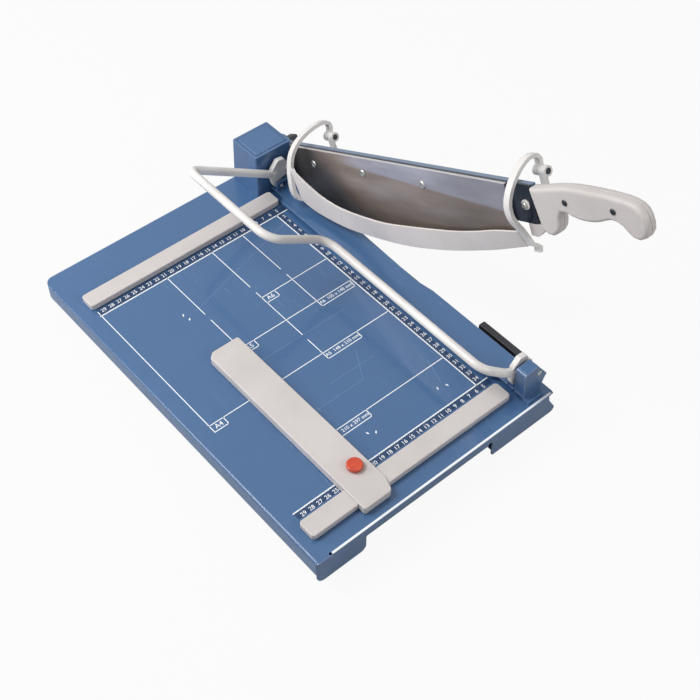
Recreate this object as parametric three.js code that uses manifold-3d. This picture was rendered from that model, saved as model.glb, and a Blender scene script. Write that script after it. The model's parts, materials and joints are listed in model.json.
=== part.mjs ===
// Guillotine paper cutter with a hand-pressed clamp, a swinging guard and a sliding backgauge.
//
// Millimetres, +Z up. X grows towards the cutting edge and Y towards the pivot. While the pieces
// are made, zero is where the cutting plane, the pivot's cross axis and the table top meet. The
// arm, the guard and the clamp wire are modelled flat in groups that are then turned to the
// raised arm and the raised wire. At the end the whole group is set down so that zero is the
// middle of the base.
import * as THREE from "three";
import { mergeVertices } from "three/addons/utils/BufferGeometryUtils.js";
import Module from "manifold-3d";

// Clearances, cutters and smoothness
const seat = 0.3;
const overrun = 3;
const weldDistance = 0.0001;
const arcSteps = 5;
const smallSides = 14;
const roundSides = 22;
const largeSides = 36;
const halfShare = 0.5;
const cornerShare = 0.49;

// Table: one folded steel sheet on rubber feet
const tableWidth = 317;
const tableDepth = 478;
const tableHeight = 45;
const pivotFromBack = 24;
const sheet = 2;
const bendRadius = 3.5;
const rearCornerRadius = 10;
const sideDrop = 20;
const apronDrop = 34;
const apronWaist = 12;
const apronCornerRadius = 4;
const apronOuterRadius = 10;
const footZoneLeft = 61;
const footZoneRight = 86;
const apronStepWidth = 7;
const apronStepRise = 3;
const apronNeckIn = 6;
const apronNeckDrop = 10;
const apronToeOut = 6;
const apronToeRise = 5;
const apronToeIn = 4;
const flangeDepth = 30;
const reliefRadius = 1.8;
const reliefFromLeft = 18;
const footRadius = 11;
const footTaper = 1.5;
const footFromEdge = 20;
const footFromSide = 32;
const footRecessRadius = 4;
const footRecessDepth = 4;

// Lower blade and its screws
const lowerBladeWidth = 5;
const lowerBladeDepth = 22;
const lowerBladeBevel = 1;
const cutLength = 380;
const cutStart = 24;
const rightWallDrop = 30;
const lowerScrewCount = 4;
const lowerScrewRadius = 2.5;
const lowerScrewHeadRadius = 4.5;
const lowerScrewHeadHeight = 2.6;
const lowerScrewBite = 3;
const lowerScrewDrop = 13;

// Back and front stops
const fenceHeight = 8;
const fenceBevel = 1;
const fenceCornerRadius = 4;
const backFenceWidth = 260.5;
const backFenceDepth = 21;
const backFenceFromCut = 40.5;
const backFenceFromPivot = 29.5;
const frontFenceWidth = 262;
const frontFenceDepth = 22.3;
const frontFenceFromCut = 41;
const frontFenceFromFront = 22.2;

// Pivot housing with its cap
const blockWidth = 52;
const blockDepth = 48;
const blockHeight = 58;
const blockTaper = 1.5;
const blockEdge = 2;
const capMargin = 4;
const capThickness = 2.5;
const capProud = 0.8;

// Pivot bolt, washers and nut
const pivotHeight = 26;
const boltRadius = 7;
const boltReach = 30;
const boltEndProud = 2;
const washerInnerRadius = 13;
const washerOuterRadius = 14;
const washerOuterThickness = 2;
const washerDish = 1.2;
const nutRadius = 13;
const nutThickness = 11;
const nutSides = 6;

// Cutting arm
const armRaise = 27;
const bladeThickness = 3.5;
const bladeStart = 20;
const bladeFromBarEnd = 31;
const bladeTop = 10.5;
const bladeDrop = 71.6;
const bladeGrind = 7;
const bladeLand = 0.5;
const bladeStations = 40;
const bladeStationPower = 1.5;
const bladeEdgeShares = [
  [0, 0.24], [0.006, 0.37], [0.018, 0.5], [0.05, 0.65], [0.139, 0.85], [0.21, 0.935],
  [0.284, 0.978], [0.383, 1], [0.481, 0.986], [0.6, 0.943], [0.715, 0.868], [0.846, 0.76],
  [0.95, 0.645], [1, 0.585],
];
const barThickness = 8;
const barTop = 10.7;
const barBottom = 16;
const barBossRadius = 18;
const barLength = 431.5;
const barHeelLength = 32;
const barHeelDrop = 30;
const barHeelRadius = 5;
const barBlendRadius = 8;
const heelPadDepth = 14;
const heelPadReach = 7.5;
const heelPadShares = [[0, 0], [0.9, 0], [1, 0.3], [0.4, 1], [0, 0.95]];
const bladeScrewDrop = 8;
const bladeScrewShares = [0.131, 0.381, 0.657];
const bladeScrewRadius = 2.5;
const bladeScrewHeadRadius = 4.6;
const bladeScrewHeadHeight = 1.3;
const hubFromBarEnd = 10;
const hubDrop = 9.7;
const hubWasherRadius = 5.2;
const hubWasherThickness = 1.6;
const hubScrewRadius = 2.2;
const hubHeadRadius = 3.2;
const hubHeadHeight = 2.2;

// Handle: two scales around the bar's tang
const handleLength = 140;
const handleHeight = 55;
const handleWidth = 15;
const handleRounding = 4;
const handleRoundSteps = 3;
const handleSteps = 52;
const handleSeam = 0.6;
const handleBase = 38;
const handleShares = [
  [0, 0.85], [0.085, 0.875], [0.22, 0.94], [0.37, 0.985], [0.57, 0.99], [0.76, 0.965],
  [0.895, 0.915], [0.965, 0.82], [0.995, 0.67], [1, 0.5], [0.978, 0.34], [0.92, 0.26],
  [0.855, 0.3], [0.805, 0.44], [0.755, 0.515], [0.7, 0.53], [0.575, 0.435], [0.45, 0.415],
  [0.36, 0.455], [0.285, 0.52], [0.243, 0.43], [0.222, 0.2], [0.165, 0.03], [0.1, 0.005],
  [0.045, 0.13], [0.02, 0.5],
];
const tangTop = 6.8;
const tangBottom = 2;
const tangShare = 0.93;
const rivetShares = [0.334, 0.752];
const rivetRise = 1.6;
const rivetRadius = 2.2;
const rivetHeadRadius = 3.4;
const rivetHeadHeight = 1;

// Guard: crescent shield on two hoops that turn on pins beside the bar
const hingeOut = 35.5;
const hingeRise = 10;
const guardPinRadius = 3;
const guardPinProud = 1.5;
const guardEyeRadius = 5.5;
const hoopWidth = 8;
const hoopThickness = 4.4;
const hoopSteps = 26;
const rearHoopPlace = 62;
const frontHoopFromBarEnd = 18.5;
const lugWidth = 8.5;
const lugDrop = 19;
const lugThickness = 3.5;
const hoopReach = 72;
const rearHoopShares = [
  [0.875, -0.7], [0.93, -0.63], [0.95, -0.51], [0.925, -0.36], [0.885, -0.2], [0.79, 0],
  [0.645, 0.135], [0.5, 0.205], [0.33, 0.25], [0.12, 0.27], [-0.03, 0.23], [-0.06, 0.13], [0, 0],
];
const frontHoopShares = [
  [0.345, -1.05], [0.32, -0.96], [0.37, -0.93], [0.42, -0.915], [0.46, -0.81], [0.54, -0.62],
  [0.645, -0.4], [0.645, -0.19], [0.53, 0], [0.42, 0.105], [0.3, 0.185], [0.16, 0.24],
  [0.02, 0.225], [-0.04, 0.13], [0, 0],
];
const shieldThickness = 2.4;
const shieldLip = 6;
const shieldLipHeight = 2.4;
const shieldStations = 32;
const shieldReach = 88;
const shieldOuterShares = [
  [0, -0.48, -0.31], [0.06, -0.64, -0.28], [0.18, -0.835, -0.2], [0.3, -0.925, -0.13],
  [0.42, -0.955, -0.1], [0.53, -0.955, -0.06], [0.65, -0.92, -0.02], [0.77, -0.85, 0.005],
  [0.88, -0.765, 0.02], [1, -0.65, 0.035],
];
const shieldInnerShares = [
  [0, 0.02, -0.33], [0.05, -0.17, -0.31], [0.11, -0.39, -0.26], [0.19, -0.55, -0.2],
  [0.34, -0.645, -0.15], [0.45, -0.66, -0.11], [0.67, -0.615, -0.055], [0.8, -0.54, -0.055],
  [0.9, -0.46, -0.055], [1, -0.41, -0.05],
];

// Clamp wire and its two levers
const wireRadius = 4.8;
const wireSides = 12;
const wireTilt = 32.5;
const kneeFromCut = 31.4;
const kneeHeight = 28.3;
const wireOuterReach = 135;
const wireInnerReach = 44.5;
const wireStepPlace = 141.5;
const wireFrontRun = 382.5;
const wireEndStart = 8;
const wireCornerRadius = 12;
const wireStepRadius = 18;
const wireFrontRadius = 16;
const rearLeverPlace = 29.5;
const frontLeverPlace = 422.5;
const leverThickness = 6;
const leverPinFromCut = 13;
const leverPinHeight = 29.5;
const leverPinRadius = 3;
const leverTipRadius = 6;
const leverPinGrip = 12;
const leverPinHeadRadius = 5;
const leverPinHeadHeight = 1.5;
const leverBossRadius = 6;
const leverBossProud = 1.5;
const studFromCut = 26;
const studHeight = 12.6;
const studRadius = 2;
const studFootRadius = 4.6;
const leverShares = [
  [0.37, 1], [0.72, 0.97], [0.92, 0.6], [0.72, 0.39], [0.47, 0.33], [0.42, 0.12],
  [0.14, 0.12], [0.06, 0.3], [0, 0.52], [0.08, 0.77],
];
const leverWidth = 28.5;
const leverTop = 48;
const leverLow = 6;
const leverRounding = 4;

// Press plate with a slotted lug at each end
const plateThickness = 2.5;
const plateRise = 4.5;
const plateOuterGap = 2;
const plateInnerEdge = 40.5;
const plateEndEdge = 33.3;
const plateWaist = 3.5;
const plateWaistShares = [0.31, 0.555, 0.615];
const plateEndLength = 22;
const plateCornerRadius = 6;
const plateRidgeWidth = 2;
const plateRidgeHeight = 0.9;
const plateRearGap = 1.5;
const plateFrontGap = 1.2;
const lugLeverGap = 1;
const lugPlateThickness = 3;
const lugPlateHeight = 15;
const slotTravel = 6;
const slotClearance = 0.9;
const lugMargin = 4;

// Front post
const postDepth = 13;
const postGap = 3;
const postSheet = 2.5;
const postHeight = 43;
const postWidth = 34.5;
const postRightGap = 0.6;
const postRounding = 3;
const postShares = [
  [0, 0.93], [0.12, 0.965], [0.54, 1], [1, 0.465], [0.93, 0.4], [0.8, 0.13], [0.8, 0], [0.08, 0],
];
const postFootDepth = 7;
const postFootShares = [0.08, 0.74];
const postFootThickness = 3;

// Blade guide outside the blade's path
const guideFront = 397;
const guideLength = 60;
const guideGap = 5.7;
const guideWidth = 8;
const guideTop = 1.5;
const guideDepth = 24;
const guideBevel = 0.8;
const guideRounding = 2.5;
const bracketSheet = 2.5;
const bracketDrop = 37;
const bracketLength = 36;
const bracketLap = 14;

// Backgauge on the front stop, with its clamp
const gaugeWidth = 40;
const gaugeFromCut = 207;
const gaugeReach = 212;
const gaugeHook = 9;
const gaugeHeadWidth = 35;
const gaugeChamfer = 6;
const gaugeHeadSlope = 16;
const gaugeRise = 0.6;
const gaugeTop = 10.5;
const gaugeBevel = 0.8;
const gaugeRounding = 2.5;
const gaugeWall = 2.5;
const knobFromCut = 222.5;
const knobFromFence = 12;
const knobRadius = 8.5;
const knobHeight = 5.4;
const knobRounding = 1.8;
const knobSocketShare = 0.55;
const clampStudRadius = 2.2;
const shoeWidth = 18;
const shoeDepth = 23;
const shoeLow = 1.2;
const shoeHigh = 7.4;

const wasm = await Module();
wasm.setup();

// Places worked out from the sizes above
const tableLeft = -tableWidth;
const tableBack = pivotFromBack;
const tableFront = pivotFromBack - tableDepth;
const floorLevel = -tableHeight;
const bladeLeft = seat;
const bladeRight = seat + bladeThickness;
const barLeft = bladeRight + seat;
const barRight = barLeft + barThickness;
const barMiddle = (barLeft + barRight) * halfShare;
const barHeelStart = barLength - barHeelLength;
const bladeLength = barLength - bladeFromBarEnd - bladeStart;
const bladeScrewPlaces = bladeScrewShares.map((share) => bladeStart + bladeLength * share);
const hubPlace = barLength - hubFromBarEnd;
const rivetPlaces = rivetShares.map((share) => handleLength * share);
const frontHoopPlace = barLength - frontHoopFromBarEnd;
const backFenceBack = -backFenceFromPivot;
const frontFenceFront = tableFront + frontFenceFromFront;
const frontFenceBack = frontFenceFront + frontFenceDepth;
const blockFront = pivotFromBack - blockDepth;
const postBack = -(frontLeverPlace + leverThickness * halfShare + postGap);
const postFront = postBack - postDepth;
const plateTop = plateRise + plateThickness;

// Materials
const finish = (color, roughness, metalness) =>
  new THREE.MeshStandardMaterial({ color, roughness, metalness });
const paint = () => finish(0x4d6f9f, 0.45, 0.2);
const palePlastic = () => finish(0xd7d0cd, 0.5, 0);
const whitePlastic = () => finish(0xe8e4e0, 0.5, 0);
const steel = () => finish(0x8f8880, 0.35, 0.9);
const zinc = () => finish(0xb9b8b2, 0.4, 0.9);
const rubber = () => finish(0x1c1d20, 0.85, 0);
const blackPlastic = () => finish(0x17191d, 0.5, 0);
const darkMetal = () => finish(0x3a3c42, 0.45, 0.7);
const knobPlastic = () => finish(0xdc3c19, 0.4, 0);

// Corners of an outline rounded to arcs. A corner is [x, y] or [x, y, its own radius].
function rounded(corners, radius = 0) {
  const points = [];
  corners.forEach((corner, index) => {
    const here = new THREE.Vector2(corner[0], corner[1]);
    const last = corners[(index + corners.length - 1) % corners.length];
    const next = corners[(index + 1) % corners.length];
    const toLast = new THREE.Vector2(last[0], last[1]).sub(here);
    const toNext = new THREE.Vector2(next[0], next[1]).sub(here);
    const room = Math.min(toLast.length(), toNext.length()) * cornerShare;
    const half = Math.abs(toLast.angleTo(toNext)) * halfShare;
    const wanted = (corner[2] ?? radius) / Math.tan(half);
    const setback = Math.min(wanted, room);
    if (setback < weldDistance || half > Math.PI * cornerShare) {
      points.push(here);
      return;
    }
    const start = here.clone().addScaledVector(toLast.normalize(), setback);
    const end = here.clone().addScaledVector(toNext.normalize(), setback);
    const inward = toLast.clone().add(toNext).normalize();
    const centre = here.clone().addScaledVector(inward, setback / Math.cos(half));
    const from = start.clone().sub(centre);
    const sweep = Math.atan2(from.cross(end.clone().sub(centre)), from.dot(end.clone().sub(centre)));
    for (let step = 0; step <= arcSteps; step += 1) {
      points.push(from.clone().rotateAround(new THREE.Vector2(), (sweep * step) / arcSteps).add(centre));
    }
  });
  return points;
}

// An outline pushed from low to high along one axis. Its own axes are X, Y for "z", X, Z for "y"
// and Y, Z for "x".
function extruded(points, axis, low, high, bevel = 0, bevelSteps = 2) {
  const outline = points.map((point) => new THREE.Vector2(point.x ?? point[0], point.y ?? point[1]));
  const shape = new THREE.Shape(outline);
  const geometry = new THREE.ExtrudeGeometry(shape, {
    depth: high - low - bevel - bevel,
    bevelEnabled: bevel > 0,
    bevelThickness: bevel,
    bevelSize: bevel,
    bevelOffset: -bevel,
    bevelSegments: bevelSteps,
  });
  geometry.translate(0, 0, low + bevel);
  if (axis === "y") {
    geometry.rotateX(Math.PI / 2);
    geometry.scale(1, -1, 1);
    return flipped(geometry);
  }
  if (axis === "x") {
    const turn = new THREE.Matrix4().makeBasis(
      new THREE.Vector3(0, 1, 0), new THREE.Vector3(0, 0, 1), new THREE.Vector3(1, 0, 0));
    geometry.applyMatrix4(turn);
  }
  return geometry;
}

// The same triangles facing the other way, after a mirror
function flipped(geometry) {
  const bare = bareMesh(geometry);
  const index = bare.index.array;
  for (let corner = 0; corner < index.length; corner += 3) {
    [index[corner], index[corner + 1]] = [index[corner + 1], index[corner]];
  }
  return bare;
}

// Shared vertices and positions only
function bareMesh(geometry) {
  const bare = geometry.clone();
  bare.deleteAttribute("normal");
  bare.deleteAttribute("uv");
  return mergeVertices(bare, weldDistance);
}

function solidOf(geometry) {
  const bare = bareMesh(geometry);
  return new wasm.Manifold(new wasm.Mesh({
    numProp: 3,
    vertProperties: Float32Array.from(bare.attributes.position.array),
    triVerts: Uint32Array.from(bare.index.array),
  }));
}

function geometryOf(solid) {
  const mesh = solid.getMesh();
  const geometry = new THREE.BufferGeometry();
  geometry.setAttribute("position", new THREE.BufferAttribute(new Float32Array(mesh.vertProperties), 3));
  geometry.setIndex(new THREE.BufferAttribute(new Uint32Array(mesh.triVerts), 1));
  geometry.computeVertexNormals();
  return geometry;
}

function fused(...geometries) {
  return geometryOf(geometries.map(solidOf).reduce((whole, next) => whole.add(next)));
}

function trimmed(geometry, ...cutters) {
  return geometryOf(cutters.map(solidOf).reduce((whole, next) => whole.subtract(next), solidOf(geometry)));
}

function common(first, second) {
  return geometryOf(solidOf(first).intersect(solidOf(second)));
}

// A round bar along one axis. The two places are those of the other axes, in X, Y, Z order.
function round(axis, low, high, placeA, placeB, radius, sides = smallSides, endRadius = radius) {
  const geometry = new THREE.CylinderGeometry(endRadius, radius, high - low, sides);
  geometry.translate(0, (low + high) * halfShare, 0);
  if (axis === "x") {
    geometry.rotateZ(-Math.PI / 2);
    geometry.translate(0, placeA, placeB);
  }
  if (axis === "y") {
    geometry.translate(placeA, 0, placeB);
  }
  if (axis === "z") {
    geometry.rotateX(Math.PI / 2);
    geometry.translate(placeA, placeB, 0);
  }
  return geometry;
}

function block(xLow, xHigh, yLow, yHigh, zLow, zHigh) {
  const geometry = new THREE.BoxGeometry(xHigh - xLow, yHigh - yLow, zHigh - zLow);
  geometry.translate((xLow + xHigh) * halfShare, (yLow + yHigh) * halfShare, (zLow + zHigh) * halfShare);
  return geometry;
}

// A closed skin through rings of points that all have the same number of corners
function lofted(rings, flatAxes) {
  const corners = rings[0].length;
  const last = (rings.length - 1) * corners;
  const faces = [];
  for (let ring = 0; ring < rings.length - 1; ring += 1) {
    for (let corner = 0; corner < corners; corner += 1) {
      const a = ring * corners + corner;
      const b = ring * corners + ((corner + 1) % corners);
      faces.push(a, b, b + corners, a, b + corners, a + corners);
    }
  }
  const capFaces = (ring, first, reverse) => {
    const flat = ring.map((point) => new THREE.Vector2(point[flatAxes[0]], point[flatAxes[1]]));
    const ringTurn = Math.sign(THREE.ShapeUtils.area(flat));
    THREE.ShapeUtils.triangulateShape(flat, []).forEach((face) => {
      const faceTurn = Math.sign(THREE.ShapeUtils.area(face.map((corner) => flat[corner])));
      const [a, b, c] = face.map((corner) => corner + first);
      faces.push(...((faceTurn === ringTurn) === reverse ? [a, c, b] : [a, b, c]));
    });
  };
  capFaces(rings[0], 0, true);
  capFaces(rings[rings.length - 1], last, false);
  const points = rings.flat();
  let volume = 0;
  for (let corner = 0; corner < faces.length; corner += 3) {
    const [a, b, c] = faces.slice(corner, corner + 3).map((index) => points[index]);
    volume += a.dot(b.clone().cross(c));
  }
  const geometry = new THREE.BufferGeometry();
  const places = points.flatMap((point) => point.toArray());
  geometry.setAttribute("position", new THREE.Float32BufferAttribute(places, 3));
  geometry.setIndex(faces);
  return volume < 0 ? flipped(geometry) : geometry;
}

// Height of a curve, given as [place, value, ...] rows, at one place along it
function valueAt(rows, place, column) {
  const curve = new THREE.SplineCurve(rows.map((row) => new THREE.Vector2(row[0], row[column])));
  const points = curve.getPoints(rows.length * arcSteps);
  const next = Math.max(1, points.findIndex((point) => point.x >= place - weldDistance));
  const low = points[next - 1];
  const high = points[next];
  return THREE.MathUtils.mapLinear(place, low.x, high.x, low.y, high.y);
}

// A flat band of even thickness along a smooth line, as an outline
function bandOutline(rows, thickness, steps) {
  const curve = new THREE.SplineCurve(rows.map((row) => new THREE.Vector2(row[0], row[1])));
  const left = [];
  const right = [];
  for (let step = 0; step <= steps; step += 1) {
    const point = curve.getPointAt(step / steps);
    const along = curve.getTangentAt(step / steps);
    const across = new THREE.Vector2(-along.y, along.x).multiplyScalar(thickness * halfShare);
    left.push(point.clone().add(across));
    right.unshift(point.clone().sub(across));
  }
  return [...left, ...right];
}

const group = new THREE.Group();
const base = new THREE.Group();
const arm = new THREE.Group();
const guard = new THREE.Group();
const clamp = new THREE.Group();
const wire = new THREE.Group();
group.add(base, arm, clamp, wire);
arm.add(guard);
arm.position.z = pivotHeight;
arm.rotation.x = -THREE.MathUtils.degToRad(armRaise);
wire.position.set(-kneeFromCut, 0, kneeHeight);
wire.rotation.y = THREE.MathUtils.degToRad(wireTilt);

function add(parent, name, geometry, material) {
  const mesh = new THREE.Mesh(geometry, material);
  mesh.name = name;
  parent.add(mesh);
}

// Table

function apronOutline() {
  const neckLow = -apronNeckDrop;
  const leftZone = tableLeft + footZoneLeft;
  const rightZone = -footZoneRight;
  return rounded([
    [tableLeft, overrun, 0],
    [0, overrun, 0],
    [0, -sheet, 0],
    [-apronNeckIn, -sheet, 0],
    [-apronNeckIn + sheet * halfShare, neckLow],
    [apronToeOut, -apronDrop + apronToeRise],
    [apronToeOut - apronToeIn, -apronDrop],
    [rightZone, -apronDrop, sheet],
    [rightZone, -apronWaist + apronStepRise],
    [rightZone - apronStepWidth, -apronWaist + apronStepRise],
    [rightZone - apronStepWidth, -apronWaist, 0],
    [leftZone, -apronWaist, sheet],
    [leftZone, -apronDrop + apronToeRise],
    [leftZone - apronToeIn, -apronDrop],
    [tableLeft, -apronDrop, apronOuterRadius],
  ], apronCornerRadius);
}

function bedGeometry() {
  const inner = bendRadius - sheet;
  const frontToBack = rounded([
    [tableFront, -apronDrop, 0],
    [tableFront, 0, bendRadius],
    [tableBack, 0, bendRadius],
    [tableBack, -apronDrop, 0],
    [tableBack - sheet, -apronDrop, 0],
    [tableBack - sheet, -sheet, inner],
    [tableFront + sheet, -sheet, inner],
    [tableFront + sheet, -apronDrop, 0],
  ]);
  const sideToSide = rounded([
    [tableLeft, -sideDrop, 0],
    [tableLeft, 0, bendRadius],
    [-bendRadius, 0, 0],
    [-bendRadius, -sheet, 0],
    [tableLeft + sheet, -sheet, inner],
    [tableLeft + sheet, -sideDrop, 0],
  ]);
  const plan = rounded([
    [tableLeft, tableFront, bendRadius],
    [apronToeOut, tableFront, 0],
    [apronToeOut, tableBack, 0],
    [tableLeft, tableBack, rearCornerRadius],
  ]);
  const folds = common(
    extruded(frontToBack, "x", tableLeft, apronToeOut),
    extruded(apronOutline(), "y", tableFront, tableBack),
  );
  const shell = common(
    fused(folds, extruded(sideToSide, "y", tableFront, tableBack)),
    extruded(plan, "z", -apronDrop - overrun, overrun),
  );
  const notchLeft = -lowerBladeWidth - seat;
  const cutFront = -cutStart - cutLength;
  const wallLeft = notchLeft - sheet;
  const flangeLow = -apronDrop;
  const flangeHigh = -apronDrop + sheet;
  const leftFlangeRight = tableLeft + footZoneLeft - apronToeIn - apronCornerRadius;
  const rightFlangeLeft = -footZoneRight + apronCornerRadius;
  const leftFlangeLeft = tableLeft + apronOuterRadius;
  const frontRoot = tableFront + sheet * halfShare;
  const frontEdge = tableFront + flangeDepth;
  const backRoot = tableBack - sheet * halfShare;
  const backEdge = tableBack - flangeDepth;
  const flanges = [
    block(leftFlangeLeft, leftFlangeRight, frontRoot, frontEdge, flangeLow, flangeHigh),
    block(rightFlangeLeft, -apronNeckIn, frontRoot, frontEdge, flangeLow, flangeHigh),
    block(leftFlangeLeft, leftFlangeRight, backEdge, backRoot, flangeLow, flangeHigh),
    block(rightFlangeLeft, -apronNeckIn, backEdge, backRoot, flangeLow, flangeHigh),
  ];
  const notched = trimmed(
    shell,
    block(notchLeft, apronToeOut, cutFront - seat, -cutStart + seat, -lowerBladeDepth, overrun),
    round("z", -sheet - overrun, overrun, tableLeft + reliefFromLeft, tableFront + sheet, reliefRadius),
  );
  const wall = block(wallLeft, notchLeft, cutFront - overrun, -cutStart + overrun, -rightWallDrop,
    -sheet * halfShare);
  return trimmed(fused(notched, wall, ...flanges), ...lowerScrews(seat));
}

// Screws of the lower blade, from inside the table. A grown copy cuts their holes.
function lowerScrews(grow) {
  const inside = -lowerBladeWidth - seat - sheet;
  const pitch = cutLength / lowerScrewCount;
  const screws = [];
  for (let index = 0; index < lowerScrewCount; index += 1) {
    const place = -cutStart - pitch * (index + halfShare);
    const tip = inside + sheet + seat + lowerScrewBite;
    const root = inside - seat - seat - overrun * (grow > 0);
    const shank = round("x", root, tip + grow, place, -lowerScrewDrop, lowerScrewRadius + grow);
    const headLow = inside - seat - lowerScrewHeadHeight;
    const head = round("x", headLow, inside - seat, place, -lowerScrewDrop, lowerScrewHeadRadius);
    screws.push(grow > 0 ? shank : fused(shank, head));
  }
  return screws;
}

function lowerBladeGeometry() {
  const outline = [
    [-lowerBladeWidth, 0],
    [0, 0],
    [0, -lowerBladeDepth + lowerBladeBevel],
    [-lowerBladeBevel, -lowerBladeDepth],
    [-lowerBladeWidth, -lowerBladeDepth],
  ];
  const strip = extruded(outline, "y", -cutStart - cutLength, -cutStart);
  return trimmed(strip, ...lowerScrews(seat));
}

function footGeometry(x, y) {
  const top = -apronDrop - seat;
  const body = round("z", floorLevel, top, x, y, footRadius - footTaper, roundSides, footRadius);
  const recess = round("z", floorLevel - overrun, floorLevel + footRecessDepth, x, y, footRecessRadius);
  return trimmed(body, recess);
}

function addTable() {
  add(base, "bed", bedGeometry(), paint());
  add(base, "lower_blade", lowerBladeGeometry(), steel());
  lowerScrews(0).forEach((screw, index) => add(base, `lower_blade_screw_${index + 1}`, screw, zinc()));
  const places = {
    foot_front_left: [tableLeft + footFromSide, tableFront + footFromEdge],
    foot_front_right: [-footFromSide, tableFront + footFromEdge],
    foot_back_left: [tableLeft + footFromSide, tableBack - footFromEdge],
    foot_back_right: [-footFromSide, tableBack - footFromEdge],
  };
  Object.entries(places).forEach(([name, [x, y]]) => add(base, name, footGeometry(x, y), rubber()));
}

// Stops

function fenceGeometry(right, back, width, depth) {
  const outline = rounded([
    [right - width, back - depth], [right, back - depth], [right, back], [right - width, back],
  ], fenceCornerRadius);
  return extruded(outline, "z", seat, fenceHeight, fenceBevel);
}

function addFences() {
  const backFence = fenceGeometry(-backFenceFromCut, backFenceBack, backFenceWidth, backFenceDepth);
  const frontFence = fenceGeometry(-frontFenceFromCut, frontFenceBack, frontFenceWidth, frontFenceDepth);
  add(base, "back_fence", backFence, palePlastic());
  add(base, "front_fence", frontFence, palePlastic());
}

// Pivot housing, bolt, washers and nut

function blockRing(level, inset) {
  const left = -blockWidth + inset;
  const right = 0;
  const front = blockFront + inset;
  const back = tableBack - inset;
  const corners = rounded([[left, front], [right, front], [right, back], [left, back]], blockEdge);
  return corners.map((point) => new THREE.Vector3(point.x, point.y, level));
}

function capOutline(grow) {
  const margin = blockTaper + capMargin - grow;
  return rounded([
    [-blockWidth + margin, blockFront + margin],
    [-capMargin + grow, blockFront + margin],
    [-capMargin + grow, tableBack - margin],
    [-blockWidth + margin, tableBack - margin],
  ], blockEdge);
}

function addPivot() {
  const housing = lofted([blockRing(seat, 0), blockRing(blockHeight, blockTaper)], ["x", "y"]);
  const capLow = blockHeight - capThickness;
  const pocket = extruded(capOutline(seat), "z", capLow - seat, blockHeight + overrun);
  const bore = round("x", -boltReach - seat, overrun, 0, pivotHeight, boltRadius + seat, roundSides);
  const pinBore = round("y", blockFront - overrun, blockFront + leverPinGrip, -leverPinFromCut,
    leverPinHeight, leverPinRadius + seat);
  add(base, "pivot_block", trimmed(housing, pocket, bore, pinBore), paint());
  add(base, "block_cap", extruded(capOutline(0), "z", capLow, blockHeight + capProud, capProud), paint());

  const washerHigh = barRight + seat + washerOuterThickness;
  const nutLow = washerHigh + washerDish + seat;
  const nutHigh = nutLow + nutThickness;
  const bolt = round("x", -boltReach, nutHigh + boltEndProud, 0, pivotHeight, boltRadius, roundSides);
  add(base, "pivot_bolt", bolt, darkMetal());
  const bareHole = round("x", -overrun, nutHigh + overrun, 0, pivotHeight, boltRadius + seat, roundSides);
  const inner = round("x", seat, bladeRight, 0, pivotHeight, washerInnerRadius, roundSides);
  add(base, "pivot_washer_inner", trimmed(inner, bareHole), zinc());
  const dished = round("x", barRight + seat, washerHigh + washerDish, 0, pivotHeight, washerOuterRadius,
    roundSides, washerInnerRadius);
  add(base, "pivot_washer_outer", trimmed(dished, bareHole), darkMetal());
  const nut = round("x", nutLow, nutHigh, 0, pivotHeight, nutRadius, nutSides);
  add(base, "pivot_nut", trimmed(nut, bareHole), darkMetal());
}

// Front post and blade guide

function postPoint([share, rise]) {
  return [-postRightGap - postWidth * (1 - share), seat + (postHeight - seat) * rise];
}

function addPost() {
  const outer = rounded(postShares.map(postPoint), postRounding);
  const left = -postRightGap - postWidth;
  const body = extruded(outer, "y", postFront, postBack);
  const hollowTop = postHeight - postSheet;
  const hollow = rounded([
    [left + postSheet, -overrun],
    [overrun, -overrun],
    [overrun, leverPinHeight - leverTipRadius - overrun],
    [-leverPinFromCut, hollowTop - postSheet],
    [left + postSheet, hollowTop - postSheet - postSheet],
  ], postRounding);
  const cavity = extruded(hollow, "y", postFront + postSheet, postBack - postSheet);
  const [footLeft, footRight] = postFootShares.map((share) => left + postWidth * share);
  const foot = block(footLeft, footRight, postFront - postFootDepth, postFront + postSheet, seat,
    seat + postFootThickness);
  const pinBore = round("y", postFront - overrun, postBack + overrun, -leverPinFromCut, leverPinHeight,
    leverPinRadius + seat);
  add(base, "front_bracket", trimmed(fused(trimmed(body, cavity), foot), pinBore), paint());
}

function addGuide() {
  const back = guideLength - guideFront;
  const outline = rounded([
    [-guideFront, -guideDepth], [back, -guideDepth], [back, guideTop], [-guideFront, guideTop],
  ], guideRounding);
  const bar = extruded(outline, "x", guideGap, guideGap + guideWidth, guideBevel);
  add(base, "blade_guide", bar, blackPlastic());
  const right = guideGap + guideWidth + seat + bracketSheet;
  const hangLow = -bracketDrop;
  const left = -lowerBladeWidth;
  const profile = rounded([
    [left, -lowerBladeDepth - seat - seat],
    [left + bracketSheet, -lowerBladeDepth - seat - seat],
    [left + bracketSheet, hangLow + bracketSheet],
    [right - bracketSheet, hangLow + bracketSheet],
    [right - bracketSheet, -guideDepth + bracketLap],
    [right, -guideDepth + bracketLap],
    [right, hangLow],
    [left, hangLow],
  ], seat);
  const front = (back - guideFront - bracketLength) * halfShare;
  add(base, "guide_bracket", extruded(profile, "y", front, front + bracketLength), paint());
}

// Pins that the clamp levers turn on

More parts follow.
